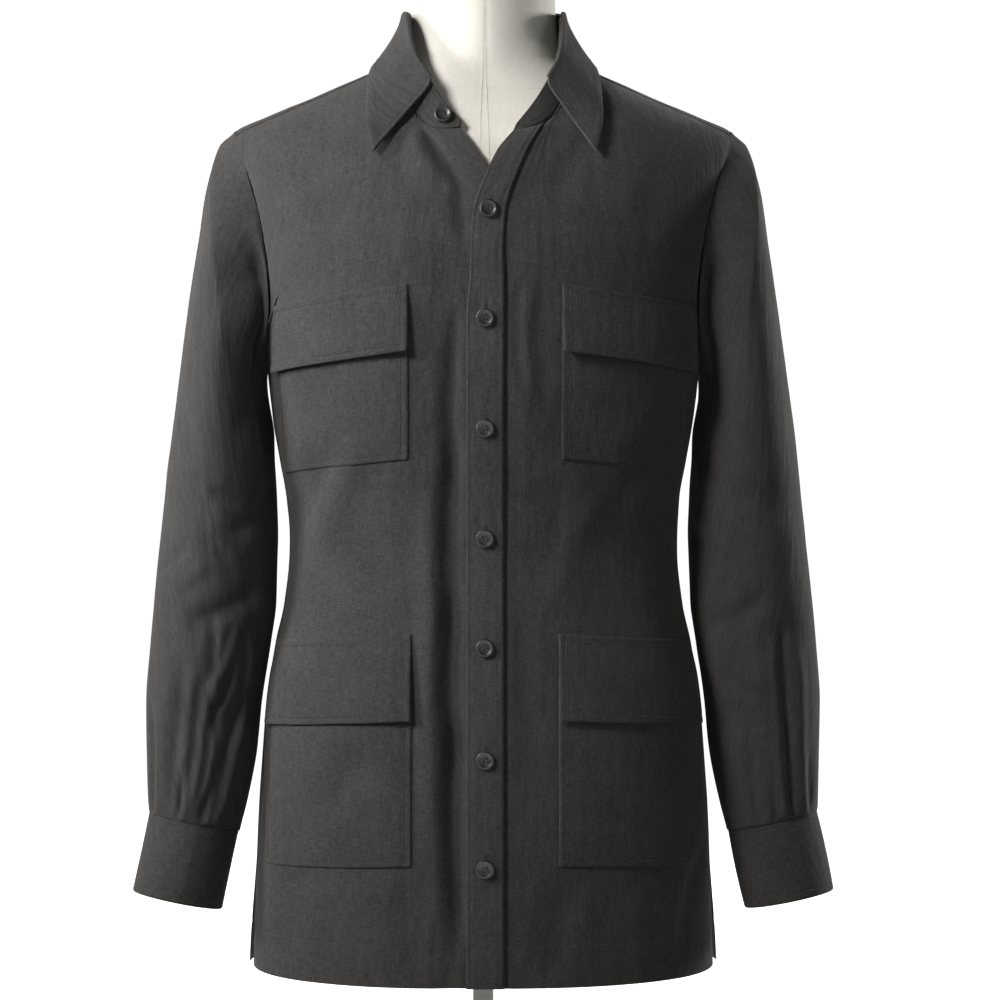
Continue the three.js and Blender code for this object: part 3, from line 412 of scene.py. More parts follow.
def smooth(t):
    t = np.clip(t, 0, 1)
    return t * t * (3 - 2 * t)


def bell(x, wide):
    """1 where x is 0, faded away on both sides."""
    return np.exp(-((x / wide) ** 2))


def hem_dent(z):
    """The stitching of a hem draws its cloth in."""
    return 0.35 * bell(z - HEM_Z - HEM_DEPTH, 2.2)


def seam_dent(steps):
    """A seam draws the cloth in beside it; steps are those from the seam."""
    return 0.5 * np.exp(-steps * 9)


def run_lengths(points):
    """Lengths along a line of points from its start."""
    return np.r_[0, np.cumsum(np.linalg.norm(np.diff(points, axis=0), axis=1))]


def stepped(places, values):
    """Values at whole numbers, and straight between them; the last one holds beyond."""
    return np.interp(places, np.arange(len(values)), values)


def unit(v):
    return v / np.maximum(np.linalg.norm(v, axis=-1, keepdims=True), 1e-9)


def level(p):
    """How far out of the body's skin points lie, as a share of their sections."""
    z = p[..., 2]
    depth = np.where(p[..., 1] < 0, at(BODY, "front", z), at(BODY, "back", z))
    square = at(BODY, "square", z)
    across = np.abs(p[..., 0] / at(BODY, "half", z)) ** square
    inwards = np.abs(p[..., 1] / depth) ** square
    return (across + inwards) ** (1 / square) - 1


def slope_of(p, step=0.05):
    """The gradient of level(), which points square out of the skin."""
    gradient = np.empty_like(p)
    for axis in range(3):
        shift = np.zeros(3)
        shift[axis] = step
        gradient[..., axis] = (level(p + shift) - level(p - shift)) / (2 * step)
    return gradient


def seated(p, rounds=8):
    """Moves points square to the body's skin until they lie on it."""
    q = np.array(p, float)
    for _ in range(rounds):
        gradient = slope_of(q)
        q -= gradient * (level(q) / (gradient**2).sum(-1))[..., None]
    return q


def facing(x, z, back=False):
    """The skin's point at a place in front or back view."""
    half, square = at(BODY, "half", z), at(BODY, "square", z)
    rest = max(0.0, 1 - abs(x / half) ** square) ** (1 / square)
    depth = at(BODY, "back", z) if back else -at(BODY, "front", z)
    return np.array((x, depth * rest, z), float)


def turned(turn, z):
    """Points of the skin from their turn round the body: 0 in front, 90 at the wearer's left."""
    sin, cos = np.sin(np.radians(turn)), np.cos(np.radians(turn))
    power = 2 / at(BODY, "square", z)
    depth = np.where(cos > 0, at(BODY, "front", z), at(BODY, "back", z))
    x = np.sign(sin) * at(BODY, "half", z) * np.abs(sin) ** power
    y = -np.sign(cos) * depth * np.abs(cos) ** power
    return np.stack(np.broadcast_arrays(x, y, np.asarray(z, float)), -1)


@lru_cache(maxsize=None)
def profile(z, back):
    """Points of a quarter of a level section, from its centre line to its side, and their lengths."""
    turns = np.linspace(0, 90, 81)
    points = turned(180 - turns if back else turns, z)
    return points, run_lengths(points)


def side_length(z, back=False):
    return profile(round(float(z), 4), back)[1][-1]


def along(length, z, back=False):
    """A point of the skin at a length round the body from its centre line."""
    points, runs = profile(round(float(z), 4), back)
    place = [np.interp(abs(length), runs, points[:, axis]) for axis in range(3)]
    return np.array((math.copysign(place[0], length), place[1], z))


def mirrored(p):
    return np.asarray(p, float) * (-1, 1, 1)


def cubic(points, places, closed=False):
    """Points on smooth curves through the first axis of an array, at fractions of its steps."""
    places = np.asarray(places, float)
    count = len(points)
    i = np.floor(places).astype(int)
    if not closed:
        i = np.clip(i, 0, count - 2)
    t = (places - i).reshape((-1,) + (1,) * (points.ndim - 1))

    def pick(k):
        if closed:
            return points[k % count]
        inside = points[np.clip(k, 0, count - 1)]
        low = 2 * points[0] - points[1]
        high = 2 * points[-1] - points[-2]
        over = (k < 0).reshape(t.shape)
        past = (k >= count).reshape(t.shape)
        return np.where(over, low, np.where(past, high, inside))

    a, b, c, d = pick(i - 1), pick(i), pick(i + 1), pick(i + 2)
    return b + 0.5 * t * ((c - a) + t * ((2 * a - 5 * b + 4 * c - d) + t * (3 * (b - c) + d - a)))


def sampled(grid, rows, columns, closed=False):
    by_row = cubic(grid, rows)
    return cubic(by_row.transpose(1, 0, 2), columns, closed).transpose(1, 0, 2)


def coons(bottom, top, start, end):
    """Fills a grid between four edges."""
    v = np.linspace(0, 1, len(start))[:, None, None]
    u = np.linspace(0, 1, len(bottom))[None, :, None]
    bottom, top, start, end = (np.asarray(edge, float) for edge in (bottom, top, start, end))
    ruled = bottom[None] * (1 - v) + top[None] * v + start[:, None] * (1 - u) + end[:, None] * u
    corners = (bottom[0] * (1 - u) + bottom[-1] * u) * (1 - v) + (top[0] * (1 - u) + top[-1] * u) * v
    return ruled - corners


def grid_normals(points, towards, closed=False):
    """The facing directions of a grid, on the side that towards points to."""
    if closed:
        u = np.roll(points, -1, axis=1) - np.roll(points, 1, axis=1)
    else:
        u = np.gradient(points, axis=1)
    n = unit(np.cross(u, np.gradient(points, axis=0)))
    middle = (len(n) // 2, n.shape[1] // 2)
    return n if np.dot(n[middle], towards(points[middle])) > 0 else -n


def off_axis(p):
    return np.array((p[0], p[1], 0.0))


def fold_depth(folds, x, z):
    """Depth of listed folds: each a trough with a softer ridge beside it, faded at its ends."""
    depth = np.zeros(x.shape)
    for x0, z0, x1, z1, wide, deep in folds:
        run = np.hypot(x1 - x0, z1 - z0)
        t = ((x - x0) * (x1 - x0) + (z - z0) * (z1 - z0)) / run**2
        bow = min(0.05 * run, 3.5) * np.sin(np.pi * np.clip(t, 0, 1))
        side = ((x - x0) * (z1 - z0) - (z - z0) * (x1 - x0)) / run - bow
        fade = smooth((t + 0.12) / 0.34) * smooth((1.12 - t) / 0.34)
        depth += deep * fade * (bell(side, wide) - 0.42 * bell(side - 1.9 * wide, 1.15 * wide))
    return depth


def unevenness(a, b, seed):
    """A slow, small waviness that no pressed cloth is free of, in millimetres."""
    s = seed * 1.7
    waves = np.sin(a / 19 + 1.3 * np.sin(b / 47 + s) + s) * np.sin(b / 31 + 0.8 * np.sin(a / 37 - s))
    ripples = np.sin(a / 7.3 + 2.1 * np.sin(b / 23 + s)) * np.sin(b / 11.7 - s + 1.4 * np.sin(a / 29))
    return 0.34 * waves + 0.1 * ripples


# Seams that pieces share, on the wearer's left


@lru_cache(maxsize=None)
def seams():
    def row_drop(z, drop, height):
        return z - drop * max(0.0, (side_length(height) - DROP_FROM) / DROP_OVER)

    sides = []
    for z, drop in ROWS[: UNDERARM_ROW + 1]:
        height = z
        for _ in range(3):
            height = row_drop(z, drop, height)
        sides.append(height)
    front = np.array([facing(*spot) for spot in FRONT_ARMHOLE])
    back = np.array([facing(x, z, True) for x, z in BACK_ARMHOLE])
    underarm = along(side_length(UNDERARM_Z), UNDERARM_Z)
    tip = np.array(SHOULDER_TIP, float)
    yoke_back = np.array([facing(x, z, True) for x, z in YOKE_ARMHOLE_BACK])
    yoke = np.array([back[-1], *yoke_back, tip, facing(*YOKE_ARMHOLE_FRONT), front[-1]])
    neck, end = np.array(FRONT_NECKLINE[-1]), np.array(FRONT_ARMHOLE[-1])
    shares = np.linspace(0, 1, SHOULDER_STEPS + 1)
    shoulder = np.array([facing(*(neck + (end - neck) * share)) for share in shares])
    return {
        "sides": sides,
        "front_armhole": front,
        "back_armhole": back,
        "underarm": underarm,
        "yoke_armhole": yoke,
        "shoulder": shoulder,
        "back_neckline": np.array([turned(turn, z) for turn, z in BACK_NECKLINE]),
        "armhole": np.array([tip, yoke[-2], *front[::-1], underarm, *back, *yoke[1:4]]),
    }


def front_coarse(edge, opening):
    """A front's own rows and columns from the hem to the yoke seam and neckline."""
    seam = seams()
    grid = []
    for r, (z, drop) in enumerate(ROWS):
        inner, outer = (float(at(POCKET_EDGES, name, z)) for name in ("inner", "outer"))
        lengths = [-edge, *CENTRE_COLUMNS, *(inner + (outer - inner) * t for t in POCKET_COLUMNS)]
        points = [along(s, z - drop * max(0.0, (s - DROP_FROM) / DROP_OVER)) for s in lengths]
        if r <= UNDERARM_ROW:
            low = seam["sides"][r]
            middle = (points[-1][2] + low) / 2
            points.append(along((outer + side_length(middle)) / 2, middle))
            points.append(along(side_length(low), low))
        else:
            points.append(seated((points[-1] + seam["front_armhole"][0]) / 2))
            points.append(seam["front_armhole"][0])
        grid.append(points)
    grid[UNDERARM_ROW][-1] = seam["underarm"]
    chest = grid.pop()
    chest[0] = facing(*opening[0])
    centre = [facing(*spot) for spot in opening]
    neckline = [facing(*spot) for spot in FRONT_NECKLINE]
    upper = coons(chest, [centre[-1], *neckline, *seam["shoulder"][1:]], centre, seam["front_armhole"])
    upper[1:-1, 1:-1] = seated(upper[1:-1, 1:-1])
    return np.concatenate([np.array(grid), upper])


class Panel:
    """A piece of cloth as a fine grid over its coarse one, with places given in coarse steps."""

    def __init__(self, points, rows, columns, fine, towards=off_axis, closed=False):
        self.points = points
        self.rows = rows
        self.columns = columns
        self.fine = fine
        self.towards = towards
        self.closed = closed
        self.normals = grid_normals(points, towards, closed)

    def mirrored(self):
        """The same piece on the body's other side."""
        other = copy(self)
        other.points = mirrored(self.points)
        other.normals = mirrored(self.normals)
        return other

    def push(self, depth):
        self.points = self.points - self.normals * depth[..., None]
        self.normals = grid_normals(self.points, self.towards, self.closed)

    def from_edges(self):
        """Distances in steps from the first and last row and column."""
        r, c = np.meshgrid(self.rows, self.columns, indexing="ij")
        return r, self.rows[-1] - r, c, self.columns[-1] - c

    def at(self, rows, columns):
        """Points and facing directions at places given in coarse steps."""
        rows, columns = np.asarray(rows, float), np.asarray(columns, float)
        points = sampled(self.points, rows * self.fine[0], columns * self.fine[1], self.closed)
        normals = sampled(self.normals, rows * self.fine[0], columns * self.fine[1], self.closed)
        return points, unit(normals)

    def line(self, rows, columns, lift=0.0):
        """One point for each pair of a row and a column."""
        points, normals = [], []
        for r, c in zip(np.atleast_1d(rows), np.atleast_1d(columns)):
            p, n = self.at([r], [c])
            points.append(p[0, 0])
            normals.append(n[0, 0])
        return np.array(points) + lift * np.array(normals)


def fine_panel(coarse, fine, seat=True):
    """A panel on smooth curves through a coarse grid, laid on the body's skin where it is seated."""
    rows = np.linspace(0, len(coarse) - 1, (len(coarse) - 1) * fine[0] + 1)
    columns = np.arange((coarse.shape[1] - 1) * fine[1] + 1) / fine[1]
    points = sampled(coarse, rows, columns)
    return Panel(seated(points) if seat else points, rows, columns, fine)


def front_panel(edge, opening, side):
    panel = fine_panel(front_coarse(edge, opening), (8, 6))
    _, from_top, from_edge, from_side = panel.from_edges()
    x, z = side * panel.points[..., 0], panel.points[..., 2]
    depth = fold_depth(FRONT_FOLDS, x, z) + unevenness(x, z, 1 + side)
    for x0, z0, wide, tall, deep in SOFT_HOLLOWS:
        depth += deep * np.exp(-(((x - x0) / wide) ** 2) - ((z - z0) / tall) ** 2)
    depth *= smooth(from_side / 0.9) * smooth(from_top / 0.9)
    pressed = 0.35 + 0.65 * smooth((from_edge - 1.2) / 1.6)  # the placket holds the edge flat
    depth *= np.where(z < ROWS[CHEST_ROW, 0], pressed, 0.5 + 0.5 * pressed)
    depth += hem_dent(z) + seam_dent(from_side) + seam_dent(from_top)
    above_chest = panel.rows - CHEST_ROW
    if side > 0:
        groove = bell(x - PLACKET_GROOVE_X, 2.6) * smooth((ROWS[CHEST_ROW, 0] + 30 - z) / 30)
        depth += PLACKET_GROOVE_DEPTH * groove
        depth -= stepped(above_chest, ROLL_UPWARDS)[:, None] * stepped(panel.columns, ROLL_ACROSS)
    else:
        lap = stepped(above_chest, LAP_UPWARDS)[:, None] * stepped(panel.columns, LAP_ACROSS)
        depth += UNDER_LAP_DEPTH * lap
    panel.push(depth)
    return panel if side > 0 else panel.mirrored()


def back_row(end, z):
    """Points of the back from one side seam to the other at a height."""
    return [along((1 - 2 * c / BACK_STEPS) * end, z, True) for c in range(BACK_STEPS + 1)]


@lru_cache(maxsize=None)
def back_coarse():
    seam = seams()
    rows = [back_row(side_length(z, True), z) for z in seam["sides"]]
    rows[-1][0] = seam["underarm"]
    rows[-1][-1] = mirrored(seam["underarm"])
    end = seam["back_armhole"][-1]
    points, runs = profile(float(BACK_YOKE_Z), True)
    top = np.array(back_row(runs[np.argmax(points[:, 0] >= end[0])], BACK_YOKE_Z))
    top[0] = end
    top[-1] = mirrored(end)
    start = np.array([seam["underarm"], *seam["back_armhole"]])
    upper = coons(rows.pop(), top, start, mirrored(start))
    upper[1:-1, 1:-1] = seated(upper[1:-1, 1:-1])
    return np.concatenate([np.array(rows), upper]), top


def back_panel():
    coarse, _ = back_coarse()
    panel = fine_panel(coarse, (8, 8))
    _, from_top, from_left, from_right = panel.from_edges()
    x, z = panel.points[..., 0], panel.points[..., 2]
    near = np.minimum(from_left, from_right)
    depth = fold_depth(BACK_FOLDS, x, z) + unevenness(x, z, 5)
    depth *= smooth(near / 0.9) * smooth(from_top / 0.7)
    depth += hem_dent(z)
    depth += seam_dent(near) * smooth((z - VENT_TOP_Z) / 20) + seam_dent(from_top)
    depth -= VENT_FLARE * smooth(1 - near) * smooth((VENT_TOP_Z - z) / (VENT_TOP_Z - HEM_Z))
    panel.push(depth)
    return panel


def yoke_panel():
    seam = seams()
    _, back_top = back_coarse()
    left = [*seam["shoulder"][::-1], *seam["back_neckline"]]
    top = np.array([*left, *(mirrored(p) for p in left[-2::-1])])
    steps = len(top) - 1
    half = np.arange(steps // 2 + 1)
    near = SHOULDER_SHARE * half / SHOULDER_STEPS
    rest = (half - SHOULDER_STEPS) / (steps / 2 - SHOULDER_STEPS)
    share = np.where(half <= SHOULDER_STEPS, near, SHOULDER_SHARE + (0.5 - SHOULDER_SHARE) * rest)
    share = np.r_[share, 1 - share[-2::-1]] * BACK_STEPS
    bottom = np.stack([stepped(share, back_top[:, k]) for k in range(3)], -1)
    coarse = coons(bottom, top, seam["yoke_armhole"], mirrored(seam["yoke_armhole"]))
    coarse[1:-1, 1:-1] = seated(coarse[1:-1, 1:-1])
    panel = fine_panel(coarse, (8, 5))
    from_bottom, from_top, from_left, from_right = panel.from_edges()
    x, z = panel.points[..., 0], panel.points[..., 2]
    near_edge = np.minimum.reduce([from_left, from_right, from_bottom, from_top])
    depth = (fold_depth(YOKE_FOLDS, x, z) + 0.6 * unevenness(x, z, 8)) * smooth(near_edge)
    depth -= 0.35 * bell(from_bottom - 0.12, 0.1)  # the seam's turnings under its lower edge
    depth += 0.3 * np.exp(-np.minimum(from_left, from_right) * 5)
    panel.push(depth)
    return panel


# Sleeves and cuffs

CUFF_AXIS = unit(CUFF_FOOT - CUFF_TOP)
CUFF_BACK = unit(np.array((0, 1, 0)) - CUFF_AXIS * CUFF_AXIS[1])
CUFF_OUT = np.cross(CUFF_BACK, CUFF_AXIS)
CUFF_OUT = CUFF_OUT * np.sign(CUFF_OUT[0])


def cuff_point(turn, down, grow):
    """A point round the cuff, down from its top and out from its plain oval."""
    turn, down, grow = np.broadcast_arrays(np.radians(turn), down, grow)
    across = ((CUFF_ACROSS + grow) * np.cos(turn))[..., None] * CUFF_OUT
    deep = ((CUFF_DEEP + grow) * np.sin(turn))[..., None] * CUFF_BACK
    return CUFF_TOP + down[..., None] * CUFF_AXIS + across + deep


def sleeve_panel(folds, seed):
    """The wearer's left sleeve; the right one is its mirror image with folds of its own."""
    armhole = seams()["armhole"]
    count = len(armhole)
    runs = run_lengths(np.concatenate([armhole, armhole[:1]]))
    front = runs[2 + len(FRONT_ARMHOLE)]  # as far as the underarm, past the tip and the yoke's front end
    places = np.arange(count * SLEEVE_FINE[1]) / SLEEVE_FINE[1]
    run = stepped(places, runs)
    turn = np.where(run <= front, -180 * run / front, 180 - 180 * (run - front) / (runs[-1] - front))
    start = cubic(armhole, places, closed=True)
    last = len(SLEEVE_RINGS) - 1
    rows = np.linspace(0, last, last * SLEEVE_FINE[0] + 1)
    t = cubic(np.array(SLEEVE_RINGS)[:, None], rows)
    low = smooth(0.5 - 0.5 * np.cos(np.radians(turn)))[None]
    seam = start + np.stack([SEAM_GAP * (1 + 2 * low[0]), 0 * turn, 0 * turn], -1)
    foot = cuff_point(turn, -SEAM_GAP, 1.0)
    z = start[None, :, 2] + (foot[None, :, 2] - start[None, :, 2]) * t
    share = np.clip(t / (CAP_BLEND[0] + (CAP_BLEND[1] - CAP_BLEND[0]) * low), 0, 1)
    rounded = 1 - (1 - share) ** 1.7
    leave = (rounded + (smooth(share) - rounded) * low)[..., None]
    arrive = smooth((t - SLEEVE_GATHER) / (1 - SLEEVE_GATHER))[..., None]
    out, inner, deep, fore = (at(SLEEVE, name, z) for name in ("out", "in", "deep", "fore"))
    shrink = 0.0
    for fold_z, fold_turn, wide, tall, depth in SLEEVE_HOLLOWS:
        away = (turn - fold_turn + 180) % 360 - 180
        shrink = shrink + depth * np.exp(-((away / wide) ** 2) - ((z - fold_z) / tall) ** 2)
    cos, sin = np.cos(np.radians(turn)), np.sin(np.radians(turn))
    across = (out + inner) / 2 + ((out - inner) / 2 - shrink) * cos
    free = np.stack([across, -fore + (deep - shrink) * sin, z], -1)
    hung = np.broadcast_to(seam[None], free.shape).copy()
    hung[..., 2] = z
    points = hung + (free - hung) * leave
    points = points + (foot[None] - points) * arrive
    axis_x = points[..., 0].mean(1).mean()

    def off_sleeve_axis(p):
        return np.array((p[0] - axis_x, p[1], 0.0))

    panel = Panel(points, rows, places, SLEEVE_FINE, off_sleeve_axis, closed=True)
    depth = unevenness(np.broadcast_to(turn * SLEEVE_GIRTH, z.shape), z, seed) * 0.9
    for a0, z0, a1, z1, wide, deep_in in folds:
        middle = (a0 + a1) / 2
        near = np.broadcast_to(((turn - middle + 180) % 360 - 180 + middle) * SLEEVE_GIRTH, z.shape)
        fold = (a0 * SLEEVE_GIRTH, z0, a1 * SLEEVE_GIRTH, z1, wide, deep_in)
        depth = depth + fold_depth([fold], near, z)
    depth *= smooth((t - 0.004) / 0.03) * (1 - 0.75 * smooth((t - 0.93) / 0.07))
    depth += 0.6 * bell(t - 0.99, 0.006) + 0.3 * bell(t, 0.005)  # drawn in at the cuff and the armhole
    depth -= bell(t - 0.022, 0.016) * (1 - low)  # eased-in sleeve head
    panel.push(depth)
    return panel


# Collar


@lru_cache(maxsize=None)
def collar():
    """The stand and the leaf as fine panels."""
    ends = [facing(*LEFT_OPENING[-1]), mirrored(facing(*RIGHT_OPENING[-1]))]
    left = [ends[0], *(facing(*spot) for spot in FRONT_NECKLINE), *seams()["back_neckline"]]
    neckline = np.array([*left, *(mirrored(p) for p in left[-2::-1])])
    neckline[-1] = ends[1]
    last = len(neckline) - 1
    base, rise = [], []
    for i, p in enumerate(neckline):
        inwards = unit(np.array((-p[0], -p[1], 0)))
        lean = STAND_LEAN[0] + (STAND_LEAN[1] - STAND_LEAN[0]) * smooth(p[1] / 60)
        up = unit(np.array((0, 0, 1)) + inwards * lean)
        from_end = min(i, last - i)
        gap = STEEP_GAP if 1 < from_end <= len(FRONT_NECKLINE) else 2 * SEAM_GAP
        height = STAND_HEIGHT * STAND_SHAPE[min(from_end, len(STAND_SHAPE) - 1)]
        base.append(p + up * gap)
        rise.append(up * height + np.array((STAND_OPEN[i] if i < len(STAND_OPEN) else 0, 0, 0)))
    base, rise = np.array(base), np.array(rise)
    coarse = np.stack([base + rise * share for share in (0, 0.5, 1)])
    stand = fine_panel(coarse, (8, 8), seat=False)
    edge = []
    for x, z, off in LEAF_EDGE:
        p = facing(x, z)
        edge.append(p + unit(slope_of(p)) * off)
    edge += [np.array(p, float) for p in LEAF_BACK_EDGE]
    edge = np.array([*edge, *(mirrored(p) for p in edge[-2::-1])])
    top = coarse[2][LEAF_FROM:-LEAF_FROM]
    normal = grid_normals(coarse, off_axis)[2][LEAF_FROM:-LEAF_FROM]
    outwards = unit(normal * (1, 1, 0))
    rows = (  # outwards and up from the stand's top, and share of the way to the leaf's edge
        (0, LEAF_CREST + DOUBLED, 0),
        (2.6, LEAF_CREST + 1.2, 0),
        (4.2, -3, 0.03),
        (1.3, -2, 0.3),
        (-3, 0, 0.65),
        (0, 0, 1),
    )
    points = []
    for out, up, share in rows:
        middle = top - normal * (DOUBLED / 2 if out == 0 and share == 0 else 0)
        q = middle + outwards * out + np.array((0, 0, up))
        points.append(q + (edge - q) * share)
    return stand, fine_panel(np.array(points), (6, 8), seat=False)


# The panels of the whole shirt


@lru_cache(maxsize=None)
def panel(name):
    makers = {
        "front_left": lambda: front_panel(PLACKET_EDGE, LEFT_OPENING, 1),
        "front_right": lambda: front_panel(UNDER_LAP_EDGE, RIGHT_OPENING, -1),
        "back": back_panel,
        "yoke": yoke_panel,
        "sleeve_left": lambda: sleeve_panel(LEFT_SLEEVE_FOLDS, 3),
        "sleeve_right": lambda: sleeve_panel(RIGHT_SLEEVE_FOLDS, 9).mirrored(),
        "collar_stand": lambda: collar()[0],
        "collar_leaf": lambda: collar()[1],
    }
    return makers[name]()


# Meshes


def linear(hex_colour, alpha=1.0):
    """An sRGB hex colour as linear values."""
    values = [int(hex_colour[i : i + 2], 16) / 255 for i in (1, 3, 5)]
    return [v / 12.92 if v <= 0.04045 else ((v + 0.055) / 1.055) ** 2.4 for v in values] + [alpha]


def linked(name, data):
    """A new object at the origin."""
    thing = bpy.data.objects.new(name, data)
    bpy.context.scene.collection.objects.link(thing)
    return thing


def finish_mesh(name, vertices, faces, material, uv=None, sharp=50):
    """A smooth-shaded object at the origin, riding on the part's one body."""
    mesh = bpy.data.meshes.new(name)
    mesh.from_pydata((np.asarray(vertices) * MM).tolist(), [], faces)
    mesh.materials.append(material)
    if uv is not None:
        layer = mesh.uv_layers.new(name="Cloth")
        loops = np.empty(len(mesh.loops), int)
        mesh.loops.foreach_get("vertex_index", loops)
        layer.data.foreach_set("uv", (np.asarray(uv)[loops] * MM).ravel())
    mesh.polygons.foreach_set("use_smooth", [True] * len(mesh.polygons))
    mesh.update()
    mesh.set_sharp_from_angle(angle=math.radians(sharp))
    piece = linked(name, mesh)
    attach(piece, "root")
    return piece


def cloth_uv(points, offset=(0.0, 0.0)):
    """Places in the cloth measured along its threads, in millimetres."""
    across = np.linalg.norm(np.diff(points, axis=1), axis=2)
    upwards = np.linalg.norm(np.diff(points, axis=0), axis=2)
    u = np.concatenate([np.zeros((len(points), 1)), np.cumsum(across, axis=1)], axis=1)
    v = np.concatenate([np.zeros((1, points.shape[1])), np.cumsum(upwards, axis=0)], axis=0)
    return np.stack([u + offset[0], v + offset[1]], -1)


def shell(name, points, normals, thickness, material, closed=False, offset=(0.0, 0.0)):
    """A closed wall of cloth behind a grid, as one mesh with threads that follow the grid."""
    rows, columns = points.shape[:2]
    if closed:  # the last column repeats the first, so that the threads' places don't wrap
        points = np.concatenate([points, points[:, :1]], axis=1)
        normals = np.concatenate([normals, normals[:, :1]], axis=1)
        columns += 1
    uv = cloth_uv(points, offset)
    inner = points - normals * thickness
    half = rows * columns
    index = np.arange(half).reshape(rows, columns)
    a, b = index[:-1, :-1].ravel(), index[:-1, 1:].ravel()
    c, d = index[1:, 1:].ravel(), index[1:, :-1].ravel()
    outer_faces = np.stack([a, b, c, d], 1)
    rims = [index[0], index[-1][::-1]]
    if not closed:
        rims += [index[::-1, 0], index[:, -1]]
    rim_faces = []
    for rim in rims:
        rim_faces.append(np.stack([rim[1:], rim[:-1], rim[:-1] + half, rim[1:] + half], 1))
    faces = np.concatenate([outer_faces, outer_faces[:, ::-1] + half, *rim_faces])
    r, c = rows // 2, columns // 2
    across, upwards = points[r, c + 1] - points[r, c], points[r + 1, c] - points[r, c]
    if np.dot(np.cross(across, upwards), normals[r, c]) < 0:
        faces = faces[:, ::-1]
    vertices = np.concatenate([points.reshape(-1, 3), inner.reshape(-1, 3)])
    uv = np.concatenate([uv.reshape(-1, 2), uv.reshape(-1, 2)])
    piece = finish_mesh(name, vertices, faces.tolist(), material, uv)
    if closed:
        merge_doubles(piece.data)
    return piece


def merge_doubles(mesh):
    """Joins a tube's last column to its first."""
    shape = bmesh.new()
    shape.from_mesh(mesh)
    bmesh.ops.remove_doubles(shape, verts=shape.verts, dist=0.00001)
    shape.to_mesh(mesh)
    shape.free()


def spread(start, end, size, step, inset=EDGE_STITCH):
    """Places from start to end over size millimetres, closer at both edges and along the stitching."""
    near = [0, 0.45, 1.3, 2.6, inset - 1.5, inset, inset + 1.5, inset + 4]
    near = [d for d in near if d < size / 2 - 1]
    middle = np.linspace(near[-1], size - near[-1], max(2, int((size - 2 * near[-1]) / step)) + 1)
    marks = np.r_[near, middle[1:-1], [size - d for d in near[::-1]]]
    return start + (end - start) * marks / size, marks


def edge_relief(rows, columns, thickness, inset=EDGE_STITCH, free=(True,) * 4):
    """Height over a sewn patch: its free edges turn down and its stitching sinks in."""
    r, c = np.meshgrid(rows, columns, indexing="ij")
    edges = (r, rows[-1] - r, c, columns[-1] - c)
    height = np.zeros(r.shape)
    for distance, is_free in zip(edges, free):
        if is_free:
            height -= 0.4 * thickness * bell(distance, 0.6)
            height -= 0.32 * bell(distance - inset, 1.1)
    return height


# Materials


def add_node(tree, kind, settings=None, **links):
    """Adds a node. A link's name is its socket's, or in and a number; its value is a socket or a constant."""
    node = tree.nodes.new(kind)
    for key, value in (settings or {}).items():
        setattr(node, key, value)
    for key, value in links.items():
        socket = node.inputs[int(key[2:])] if key[:2] == "in" and key[2:].isdigit() else node.inputs[key]
        if isinstance(value, bpy.types.NodeSocket):
            tree.links.new(value, socket)
        else:
            socket.default_value = value
    return node


def new_material(name):
    material = bpy.data.materials.new(name)
    material.use_nodes = True
    tree = material.node_tree
    return material, tree, tree.nodes["Principled BSDF"]


def maths(tree, operation, *values):
    """The result of one operation on sockets and constants."""
    links = {f"in{i}": value for i, value in enumerate(values)}
    return add_node(tree, "ShaderNodeMath", {"operation": operation}, **links).outputs[0]


def remap(tree, value, *ranges):
    """A value carried from one range, low and high, to another."""
    links = {f"in{i}": value for i, value in enumerate((value, *ranges))}
    return add_node(tree, "ShaderNodeMapRange", None, **links).outputs[0]


def blend(tree, share, low, high):
    """A mix of two colours."""
    return add_node(tree, "ShaderNodeMix", {"data_type": "RGBA"}, in0=share, in6=low, in7=high).outputs[2]


def noise(tree, place, scale, detail):
    return add_node(tree, "ShaderNodeTexNoise", None, in0=place, Scale=scale, Detail=detail).outputs[0]


def streaks(tree, place, fine, detail=2.0):
    """Noise drawn out along one thread direction."""
    scaled = add_node(tree, "ShaderNodeVectorMath", {"operation": "MULTIPLY"}, in0=place, in1=fine)
    links = {"in0": scaled.outputs[0], "Scale": 1.0, "Detail": detail}
    return add_node(tree, "ShaderNodeTexNoise", {"noise_dimensions": "2D"}, **links).outputs[0]


